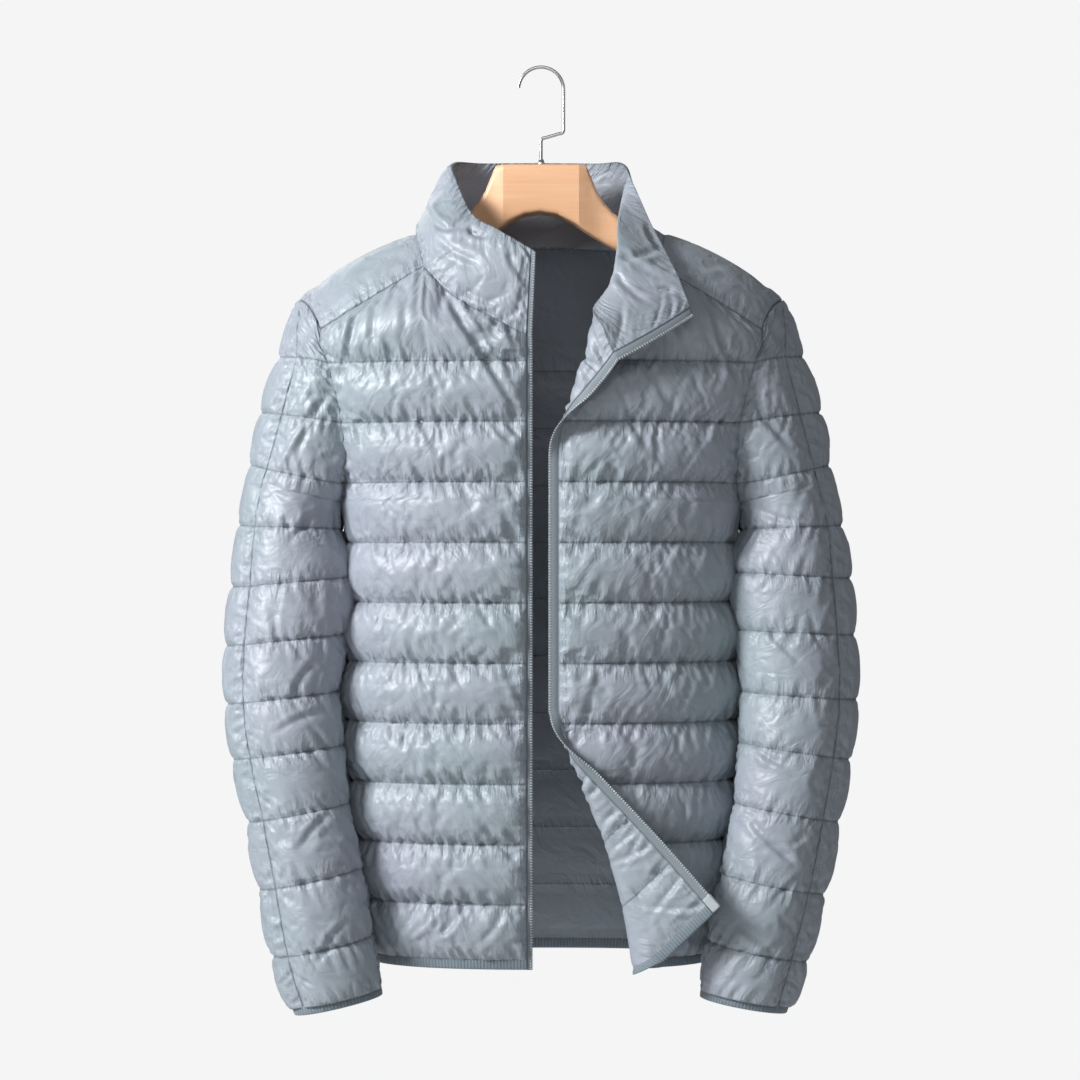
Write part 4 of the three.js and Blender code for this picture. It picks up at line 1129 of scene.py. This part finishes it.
# %% Strips beside an edge
RIB_PITCH, RIB_DEPTH = 3.1, 0.09
NARROWEST_SHEET = 0.012
FOOT, ABOVE_FOOT = (-1, slice(None)), (-2, slice(None))


def edge_frames(panel, place, inner, stretch=slice(None)):
    """Places along a panel's edge: the point, the way out of the panel and the way off its face."""
    at = panel.base[place][stretch]
    away = unit(at - panel.base[inner][stretch])
    off = unit(panel.outer[place][stretch] - at)
    return np.concatenate([at, away, off], axis=-1)


def band(name, frames, reach, middle, thickness, ring=False, ribs=0.0, pitch=1.5, corners=12,
         squareness=0.55):
    """A rounded strip beside an edge. reach is where it starts and ends, out of the panel."""
    if ring:
        frames = np.concatenate([frames, frames[:1]])
    run = lengths_along(frames[:, :3])
    count = max(4, round(run[-1] / pitch))
    places = np.linspace(0, run[-1], count, endpoint=not ring)
    even = np.stack([np.interp(places, run, frames[:, k]) for k in range(9)], -1)
    at, away, off = even[:, :3], unit(even[:, 3:6]), unit(even[:, 6:])
    angle = around(corners)
    wide, tall = squared(np.cos(angle), squareness)[None, :], squared(np.sin(angle), squareness)[None, :]
    rng = np.random.default_rng(len(name) * 7 + count)
    wander, spread_out = rng.normal(0, 0.5, count), rng.normal(0, 0.35, count)
    rib = 1 + ribs * (np.sin(places * 2 * math.pi / RIB_PITCH + wander) + spread_out)
    across = (reach[0] + reach[1]) / 2 + (reach[1] - reach[0]) / 2 * wide
    high = middle + thickness / 2 * tall * rib[:, None]
    points = at[:, None] + away[:, None] * across[..., None] + off[:, None] * high[..., None]
    made = swept(name, points, skin(count, corners, ring))
    add_floats(made.data, along=np.repeat(places, corners), across=np.tile(angle, count))
    return made, float(run[-1])


def strip_of_cloth(obj, length, rests_on):
    """Prints a band's length and the width of cloth it is cut from, using the area of one of its sides."""
    surface = sum(face.area for face in obj.data.polygons) / 2
    width = max(surface / (length * MM), NARROWEST_SHEET)
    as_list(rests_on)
    print(obj.name, round(length), "mm long, cut", round(width * 1000, 1), "mm wide")


print("places along the foot of the back:", len(edge_frames(panels["back"], FOOT, ABOVE_FOOT)))

# %% [markdown]
# One strip runs round the whole hem, from the right front over the back to the left front, and
# one closed strip round each cuff.

# %% Hem and cuff bindings
HEM_BAND, CUFF_BAND, BAND_THICKNESS, OVERLAP = 9.0, 7.0, 3.0, 1.6
hem_frames = np.concatenate([
    edge_frames(panels["front_right"], FOOT, ABOVE_FOOT),
    edge_frames(panels["back"], FOOT, ABOVE_FOOT, slice(1, -1)),
    edge_frames(panels["front_left"], FOOT, ABOVE_FOOT, slice(None, None, -1)),
])
hem_binding, hem_length = band("hem_binding_elastic", hem_frames, (-OVERLAP, HEM_BAND), WALL / 2,
                               BAND_THICKNESS, ribs=RIB_DEPTH)
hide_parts("hem_binding")
bindings = [(hem_binding, hem_length, ["back", "front_right", "front_left"])]
for side in (RIGHT, LEFT):
    front, behind = (panels[f"sleeve_{word}_{SIDE_NAME[side]}"] for word in ("front", "back"))
    cuff_frames = np.concatenate([
        edge_frames(front, FOOT, ABOVE_FOOT),
        edge_frames(behind, FOOT, ABOVE_FOOT, slice(-2, 0, -1)),
    ])
    cuff, cuff_length = band(f"cuff_binding_{SIDE_NAME[side]}_elastic", cuff_frames,
                             (-OVERLAP, CUFF_BAND), WALL / 2, BAND_THICKNESS, ring=True, ribs=RIB_DEPTH)
    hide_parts(f"cuff_binding_{SIDE_NAME[side]}")
    bindings.append((cuff, cuff_length, [f"sleeve_{word}_{SIDE_NAME[side]}" for word in ("front", "back")]))
for obj, length, rests_on in bindings:
    strip_of_cloth(obj, length, rests_on)

# %% [markdown]
# ## The zip
# Each front edge carries a woven tape with a row of moulded teeth on its free edge. The tape is
# a flat strip, and each tooth is a small rounded bar, repeated along the tape and joined.

# %% Zip tapes and teeth
TAPE_WIDTH = {RIGHT: 5.0, LEFT: 9.0}
TAPE_THICKNESS, TOOTH_PITCH = 0.9, 2.5
TOOTH_LENGTH, TOOTH_REACH, TOOTH_HEIGHT, TOOTH_SIDES = 1.35, 2.6, 1.9, 6
TOOTH_RINGS = table("share size", (-1.0, 0.7), (-0.7, 1.0), (0.7, 1.0), (1.0, 0.7))
TEETH_OVER_TAPE = 1.0


def tape_frames(side):
    front, collar = panels[f"front_{SIDE_NAME[side]}"], panels["collar"]
    column, inner = (0, 1) if side == RIGHT else (-1, -2)
    up = slice(None, None, -1)
    front_part = edge_frames(front, (slice(None), 0), (slice(None), 1), up)
    collar_part = edge_frames(collar, (slice(None), column), (slice(None), inner), slice(1, None))
    lowest = front_part[:1].copy()
    foot = unit(front.base[-1, 0] - front.base[-2, 0])
    lowest[0, :3] += foot * HEM_BAND
    return np.concatenate([lowest, front_part, collar_part])


def teeth(name, frames, reach):
    at, away, off = even_places(frames[:, :3], TOOTH_PITCH, frames[:, 3:6], frames[:, 6:])
    away, off = unit(away), unit(off)
    way = unit(np.gradient(at, axis=0))
    angle = around(TOOTH_SIDES)
    rings = []
    for ring in TOOTH_RINGS:
        centre = at + away * (reach + ring["share"] * TOOTH_REACH / 2) + off * (WALL / 2)
        long = (ring["size"] * TOOTH_LENGTH / 2 * np.cos(angle))[None, :, None]
        high = (ring["size"] * TOOTH_HEIGHT / 2 * np.sin(angle))[None, :, None]
        rings.append(centre[:, None] + way[:, None] * long + off[:, None] * high)
    points = np.concatenate(rings, axis=1)
    tooth, corners = skin(len(rings), TOOTH_SIDES), points.shape[1]
    faces = [tuple(corners * n + k for k in face) for n in range(len(at)) for face in tooth]
    return swept(name, points, faces), len(at)


tapes, tooth_rows = {}, {}
for side in (RIGHT, LEFT):
    frames = tape_frames(side)
    tape, length = band(f"zip_tape_{SIDE_NAME[side]}_woven", frames, (-OVERLAP / 2, TAPE_WIDTH[side]),
                        WALL / 2, TAPE_THICKNESS, corners=8, squareness=0.4, pitch=2.0)
    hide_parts(f"zip_tape_{SIDE_NAME[side]}")
    row, count = teeth(f"zip_teeth_{SIDE_NAME[side]}", frames, TAPE_WIDTH[side] - TEETH_OVER_TAPE)
    strip_of_cloth(tape, length, [f"front_{SIDE_NAME[side]}", "collar"])
    tapes[side], tooth_rows[side] = tape, row
    print("zip tape", SIDE_NAME[side], round(length), "mm,", count, "teeth")

# %% [markdown]
# ## The hanger
# The hanger is a shaped wooden bar. Its middle block is flat in front with a crisp vertical edge
# on each side, and the arms run out under the shoulders. The hook is a thin wire with one step,
# held by a small ferrule.

# %% Wooden bar
HANGER_STATIONS = table(
    "x top bottom depth squareness",
    (0, -92.6, -138.5, 19, 0.22),
    (16, -92.6, -141, 19, 0.22),
    (30, -92.6, -148, 19, 0.22),
    (36, -92.6, -152, 18.9, 0.22),
    (43, -93.6, -157, 16.8, 0.24),
    (48, -105, -160, 15.4, 0.28),
    (53, -117, -163, 14.0, 0.32),
    (60, -128, -167.5, 13, 0.4),
    (68, -137, -172, 13, 0.5),
    (80, -145.5, -178, 14, 0.7),
    (92, -152, -184, 15, 0.85),
)
HANGER_SIDES, HANGER_ARM_END = 28, 200.0
ARM_HEIGHT, ARM_DEPTH, ARM_SQUARENESS = (34, 24), (17, 22), 0.95
WOOD_EDGE_ANGLE, WIRE_EDGE_ANGLE = math.radians(9), math.radians(40)


def hanger_points():
    arm = []
    for t in np.linspace(0, 1, 12):
        x = between(NECK_HALF_WIDTH, HANGER_ARM_END, t)
        top = float(ridge_z(x)) - 0.5
        arm.append(dict(x=x, top=top, bottom=top - between(*ARM_HEIGHT, t), depth=between(*ARM_DEPTH, t),
                        squareness=ARM_SQUARENESS))
    half = HANGER_STATIONS + arm
    stations = [dict(s, x=-s["x"]) for s in half[:0:-1]] + half
    angle = around(HANGER_SIDES)
    rings = []
    for s in stations:
        middle, high = (s["top"] + s["bottom"]) / 2, (s["top"] - s["bottom"]) / 2
        rings.append(np.stack([
            np.full(HANGER_SIDES, s["x"]),
            s["depth"] * squared(np.cos(angle), s["squareness"]),
            middle + high * squared(np.sin(angle), s["squareness"]),
        ], -1))
    return np.array(rings)


rings = hanger_points()
wood_bar = swept("hanger_bar", rings, skin(len(rings), HANGER_SIDES))
wood_bar.data.set_sharp_from_angle(angle=WOOD_EDGE_ANGLE)
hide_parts("hanger_wood")
print("hanger bar:", len(rings), "sections,", 2 * HANGER_ARM_END, "mm long")

# %% [markdown]
# The hook is one round wire, swept along a line that steps over to the middle of the hook. It
# stands in a small ferrule on the bar.

# %% Wire hook and ferrule
WIRE_RADIUS, HOOK_RADIUS, HOOK_TURN = 1.6, 21.5, 175
STEP_LOW, STEP_HIGH, STEP_CORNER = -66.0, -62.0, 4.0


def hook_line():
    """The middle line of the wire in front view, from the wood up to the tip."""
    def corner(a, b, c, steps=8):
        t = np.linspace(0, 1, steps)[:, None]
        return (1 - t) ** 2 * a + 2 * t * (1 - t) * b + t**2 * c
    flat = lambda x, z: np.array([x, 0.0, z])
    foot = HANGER_STATIONS[0]["top"] + 0.3
    arc_middle = WIRE_RADIUS - HOOK_RADIUS
    turn = np.radians(np.linspace(0, HOOK_TURN, 40))
    arc = np.stack([HOOK_RADIUS * np.cos(turn), 0 * turn, arc_middle + HOOK_RADIUS * np.sin(turn)], -1)
    leg = HOOK_RADIUS
    return np.concatenate([
        [flat(0, foot)],
        corner(flat(0, STEP_LOW - STEP_CORNER), flat(0, STEP_LOW), flat(STEP_CORNER, STEP_LOW)),
        corner(flat(leg - STEP_CORNER, STEP_HIGH), flat(leg, STEP_HIGH), flat(leg, STEP_HIGH + STEP_CORNER)),
        arc,
    ])


def tube(name, line, radii, sides=16):
    """A round rod along a line in the plane of the hanger, closed at both ends."""
    way = unit(np.gradient(line, axis=0))
    off = np.array([0.0, 1.0, 0.0])
    side = unit(np.cross(way, off))
    angle = around(sides)
    radii = np.broadcast_to(radii, (len(line),))[:, None, None]
    rings = line[:, None] + side[:, None] * (np.cos(angle)[None, :, None] * radii)
    rings = rings + off * (np.sin(angle)[None, :, None] * radii)
    made = swept(name, rings, skin(len(line), sides))
    made.data.set_sharp_from_angle(angle=WIRE_EDGE_ANGLE)
    return made


wire = hook_line()
hook = tube("hook_wire", wire, WIRE_RADIUS)
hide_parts("hanger_hook")
foot_z = HANGER_STATIONS[0]["top"]
FERRULE = table("z radius", (0.2, 3.4), (0.6, 3.6), (3.2, 3.4), (3.8, 2.9), (5.4, 2.7), (6.0, 2.2))
ferrule = tube("hook_ferrule", np.array([[0, 0, foot_z + row["z"]] for row in FERRULE]),
               np.array([row["radius"] for row in FERRULE]), sides=24)
print("hook wire:", round(float(lengths_along(wire)[-1])), "mm of wire")

# %% [markdown]
# ## Writing materials
# A finish is a small graph of shader nodes. A wire in that graph can be used like a number, so
# the maths of a finish reads as plain expressions. Plain numbers are worked out here and never
# become nodes.

# %% Shader helper
class Wire:
    """An output socket that can be used in arithmetic."""

    def __init__(self, paint, socket):
        self.paint, self.socket = paint, socket

    def maths(self, word, *others):
        return self.paint.node("ShaderNodeMath", {"operation": word}, dict(enumerate((self, *others))))

    def turned(self, word, other):
        """The same sum with the other value first."""
        return self.paint.node("ShaderNodeMath", {"operation": word}, {0: other, 1: self})

    def sine(self):
        return self.maths("SINE")

    def kept(self):
        """The same value, kept between 0 and 1."""
        return self.paint.node("ShaderNodeClamp", {}, {"Value": self})


def operator(act, word):
    return lambda wire, other: act(wire, word, other)


for sign, word in {"add": "ADD", "sub": "SUBTRACT", "mul": "MULTIPLY", "truediv": "DIVIDE"}.items():
    setattr(Wire, f"__{sign}__", operator(Wire.maths, word))
    setattr(Wire, f"__r{sign}__", operator(Wire.turned, word))


class Paint:
    """One procedural finish."""

    def __init__(self, name):
        self.material = bpy.data.materials.new(name)
        self.material.use_nodes = True
        self.tree = self.material.node_tree
        self.tree.nodes.clear()

    def node(self, kind, settings=None, values=None, out=0):
        made = self.tree.nodes.new(kind)
        for word, value in (settings or {}).items():
            setattr(made, word, value)
        for key, value in (values or {}).items():
            if isinstance(value, Wire):
                self.tree.links.new(value.socket, made.inputs[key])
            else:
                made.inputs[key].default_value = value
        return Wire(self, made.outputs[out])

    def measure(self, name):
        return self.node("ShaderNodeAttribute", {"attribute_name": name}, out="Fac")

    def place(self):
        return self.node("ShaderNodeTexCoord", out="Object")

    def vector(self, x, y):
        return self.node("ShaderNodeCombineXYZ", {}, {0: x, 1: y})

    def noise(self, vector, scale, detail=2.0, roughness=0.5, distortion=0.0):
        return self.node("ShaderNodeTexNoise", {"noise_dimensions": "3D"},
                         {"Vector": vector, "Scale": scale, "Detail": detail, "Roughness": roughness,
                          "Distortion": distortion})

    def blend(self, a, b, share):
        return self.node("ShaderNodeMix", {"data_type": "RGBA"}, {0: share, 6: a, 7: b}, out=2)

    def bump(self, height, strength, distance, below=None):
        values = {"Height": height, "Strength": strength, "Distance": distance}
        if below is not None:
            values["Normal"] = below
        return self.node("ShaderNodeBump", {}, values)

    def finish(self, **values):
        """The surface itself. Underscores stand for spaces in the socket names."""
        words = {word.replace("_", " "): value for word, value in values.items()}
        surface = self.node("ShaderNodeBsdfPrincipled", {}, words)
        output = self.tree.nodes.new("ShaderNodeOutputMaterial")
        self.tree.links.new(surface.socket, output.inputs["Surface"])
        return self.material


def wear(obj, material):
    obj.data.materials.clear()
    obj.data.materials.append(material)


print("shader helper ready")

# %% [markdown]
# ## Silver nylon
# The shell is a tight, thin nylon with a pressed shine: pale blue-grey, smooth between the
# seams, and finely crinkled next to them where the thread draws the cloth up. The crinkles are
# noise stretched across the seam and fade with the distance that the mesh carries. The narrow
# groove along each seam and panel edge is painted almost black, a painted shade for its shadow.

# %% Nylon finish
NYLON = (0.29, 0.345, 0.385, 1)
NYLON_VIOLET = (0.31, 0.34, 0.40, 1)
# Near black: painted shade for the shadowed groove along each seam and panel edge.
NYLON_SEAM_SHADE = (0.06, 0.08, 0.10, 1)


def nylon(name, shade=1.0):
    paint = Paint(name)
    seam, along, down = (paint.measure(word) for word in ("seam", "along", "down"))
    place = paint.place()
    cloud = paint.noise(place, 7.0, 3.0)
    dark = lambda colour: tuple(c * shade for c in colour[:3]) + (1,)
    tint = paint.blend(dark(NYLON), dark(NYLON_VIOLET), (cloud * 3 - 1).kept())
    # Painted shade: within 1.6 mm of a seam or panel edge the colour is blended most of the way to near
    # black, standing in for the shadow in the seam's groove.
    shaded_seam_groove = (1 - seam / 1.6).kept()
    colour = paint.blend(tint, dark(NYLON_SEAM_SHADE), shaded_seam_groove * 0.6)
    near = (1 - seam / 20).kept()
    stretched = paint.vector(along * 0.16, down * 0.045)
    crinkle = paint.noise(stretched, 1.0, 4.0, 0.55, 0.6)
    soft = paint.noise(paint.vector(along * 0.05, down * 0.05), 1.0, 3.0, 0.5, 0.8)
    thread = (along * (2 * math.pi / 0.7)).sine() * (down * (2 * math.pi / 0.7)).sine()
    deep = paint.bump(crinkle * near, 0.9, 0.0045)
    wide = paint.bump(soft, 0.5, 0.0045, deep)
    fine = paint.bump(thread, 0.05, 0.0001, wide)
    return paint.finish(
        Base_Color=colour,
        Roughness=cloud * 0.10 + 0.38 + shaded_seam_groove * 0.2,
        Normal=fine,
        Specular_IOR_Level=0.52,
        Sheen_Weight=0.12,
        Sheen_Roughness=0.4,
        Coat_Weight=0.04,
        Coat_Roughness=0.28,
    )


shell = nylon("silver_nylon")
for name, quilt in quilts.items():
    wear(quilt, shell)
print("nylon on", len(quilts), "panels")

# %% [markdown]
# ## The other finishes
# The thread is a little darker than the cloth. The binding is matt knitted elastic with ribs
# across it. The zip tape is a twill, the teeth are moulded and glossy, the bar is pale wood with
# a long grain, and the hook is bright wire.

# %% Thread, elastic, tape and teeth
def thread_finish():
    paint = Paint("polyester_thread")
    twist = paint.noise(paint.place(), 900.0, 1.0)
    return paint.finish(Base_Color=(0.20, 0.24, 0.27, 1), Roughness=0.55,
                        Normal=paint.bump(twist, 0.3, 0.0002))


def elastic_finish():
    paint = Paint("binding_elastic")
    along, across = paint.measure("along"), paint.measure("across")
    rib = (along * (2 * math.pi / 3.1)).sine() * 0.5 + 0.5
    knit = (along * (2 * math.pi / 0.8)).sine() * (across * 16).sine()
    fuzz = paint.noise(paint.place(), 260.0, 2.0)
    colour = paint.blend((0.115, 0.15, 0.18, 1), (0.21, 0.26, 0.30, 1), (rib * 0.7 + fuzz * 0.4).kept())
    normal = paint.bump(knit, 0.3, 0.0003, paint.bump(rib, 0.5, 0.0006))
    return paint.finish(Base_Color=colour, Roughness=0.72, Sheen_Weight=0.25, Normal=normal)


def tape_finish():
    paint = Paint("zip_tape_twill")
    along, across = paint.measure("along"), paint.measure("across")
    twill = (along * (2 * math.pi / 1.1) + across * 4).sine() * 0.5 + 0.5
    colour = paint.blend((0.14, 0.17, 0.20, 1), (0.24, 0.28, 0.31, 1), twill)
    return paint.finish(Base_Color=colour, Roughness=0.6, Sheen_Weight=0.2,
                        Normal=paint.bump(twill, 0.4, 0.0003))


def teeth_finish():
    paint = Paint("moulded_teeth")
    mottle = paint.noise(paint.place(), 400.0, 2.0)
    return paint.finish(Base_Color=(0.42, 0.46, 0.49, 1), Roughness=mottle * 0.2 + 0.18, Coat_Weight=0.4,
                        Normal=paint.bump(mottle, 0.08, 0.0002))


def wood_finish():
    paint = Paint("pale_wood")
    along = paint.node("ShaderNodeMapping", {}, {"Vector": paint.place(), "Scale": (3.0, 40.0, 60.0)})
    grain = paint.noise(along, 2.2, 5.0, 0.6, 0.7)
    fibre = paint.node("ShaderNodeMapping", {}, {"Vector": paint.place(), "Scale": (14.0, 400.0, 500.0)})
    pores = paint.noise(fibre, 2.0, 2.0)
    tone = paint.blend((0.82, 0.44, 0.235, 1), (0.93, 0.585, 0.36, 1), (grain * 1.6 - 0.3).kept())
    colour = paint.blend(tone, (0.62, 0.31, 0.15, 1), ((pores - 0.62) * 4).kept() * 0.35)
    return paint.finish(Base_Color=colour, Roughness=grain * 0.15 + 0.38, Coat_Weight=0.25,
                        Coat_Roughness=0.25, Normal=paint.bump(grain + pores * 0.4, 0.12, 0.0006))


def wire_finish():
    paint = Paint("bright_wire")
    drawn = paint.node("ShaderNodeMapping", {}, {"Vector": paint.place(), "Scale": (900.0, 900.0, 30.0)})
    scratch = paint.noise(drawn, 1.0, 2.0)
    return paint.finish(Base_Color=(0.72, 0.73, 0.75, 1), Metallic=1.0, Roughness=scratch * 0.18 + 0.14,
                        Normal=paint.bump(scratch, 0.05, 0.0001))


wear(stitches, thread_finish())
elastic = elastic_finish()
for obj, _, _ in bindings:
    wear(obj, elastic)
twill_tape, tooth_gloss = tape_finish(), teeth_finish()
for side in (RIGHT, LEFT):
    wear(tapes[side], twill_tape)
    wear(tooth_rows[side], tooth_gloss)
wear(frame["nodes"]["zip_box"], tooth_gloss)
wear(wood_bar, wood_finish())
bright = wire_finish()
for piece in (hook, ferrule):
    wear(piece, bright)
print("finishes:", len(bpy.data.materials))

# %% [markdown]
# ## Light, camera and backdrop
# The photo was taken straight on against near-white, with one large soft light from the upper
# left and only a weak fill on the right, so the left half is bright and every baffle has a dark
# underside. The backdrop glows by itself and stands well behind the jacket.

# %% Stage
def plane(name, width, depth, place, turn, material):
    corners = np.array([(-1, -1, 0), (1, -1, 0), (1, 1, 0), (-1, 1, 0)], float)
    corners = corners * (width / 2, depth / 2, 1) / MM
    made = new_mesh(name, corners, [(0, 1, 2, 3)])
    made.location, made.rotation_euler = place, turn
    wear(made, material)
    made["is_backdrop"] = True
    return made


def backdrop_finish():
    paint = Paint("backdrop_glow")
    glow = paint.node("ShaderNodeEmission", {}, {"Color": (0.913, 0.913, 0.921, 1), "Strength": 1.0})
    output = paint.tree.nodes.new("ShaderNodeOutputMaterial")
    paint.tree.links.new(glow.socket, output.inputs["Surface"])
    return paint.material


floor_paint = Paint("pale_floor").finish(Base_Color=(0.8, 0.8, 0.8, 1), Roughness=0.9)
plane("floor", 14, 12, (0, 0, -1.85), (0, 0, 0), floor_paint)
backdrop = plane("backdrop", 12, 7, (0, 4.6, 0), (math.radians(90), 0, 0), backdrop_finish())
backdrop.visible_diffuse = backdrop.visible_glossy = False


def soft_light(name, place, size, power):
    data = bpy.data.lights.new(name, "AREA")
    data.shape, data.size, data.energy = "SQUARE", size, power
    lamp = bpy.data.objects.new(name, data)
    lamp.location = place
    lamp.rotation_euler = (LIGHTS_AIM - Vector(place)).to_track_quat("-Z", "Y").to_euler()
    scene.collection.objects.link(lamp)


LIGHTS = table(
    "name place size power",
    ("key", (-2.5, -1.6, 0.95), 1.1, 152),
    ("front_fill", (-0.1, -3.0, 1.2), 1.6, 15),
    ("back_light", (-1.6, 3.2, 1.5), 1.8, 22),
    ("right_rim", (1.9, -0.6, 0.5), 0.8, 1.5),
)
LIGHTS_AIM = Vector((0, 0, -0.5))
for light in LIGHTS:
    soft_light(**light)
world = bpy.data.worlds.new("studio")
world.use_nodes = True
world.node_tree.nodes["Background"].inputs["Color"].default_value = (0.9, 0.91, 0.93, 1)
world.node_tree.nodes["Background"].inputs["Strength"].default_value = 0.16
scene.world = world

CAMERA_DISTANCE, PHOTO_WIDTH = 3.2, 1.0314
camera_data = bpy.data.cameras.new("camera")
camera_data.sensor_width = 36
camera_data.lens = 36 * CAMERA_DISTANCE / PHOTO_WIDTH
camera = bpy.data.objects.new("camera", camera_data)
camera.location = (-0.001, -CAMERA_DISTANCE, -0.450)
camera.rotation_euler = (math.radians(90), 0, 0)
scene.collection.objects.link(camera)
scene.camera = camera
scene.view_settings.view_transform = "Standard"
print("camera", CAMERA_DISTANCE, "m away, lens", round(camera_data.lens, 1), "mm")

# %% [markdown]
# ## Last numbers
# The box of the finished garment is printed beside the box of its frame, with the count of triangles.

# %% Compare the boxes and finish
shown_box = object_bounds()
triangles = sum(len(f.vertices) - 2 for o in scene.objects if o.type == "MESH" for f in o.data.polygons)
print("triangles in the scene:", triangles)
sizes = {"frame": [list(corner) for corner in frame_box], "shown": [list(corner) for corner in shown_box]}
for k, axis in enumerate("XYZ"):
    print(axis, [round(box[0][k] * 1000) for box in (frame_box, shown_box)],
          [round(box[1][k] * 1000) for box in (frame_box, shown_box)])
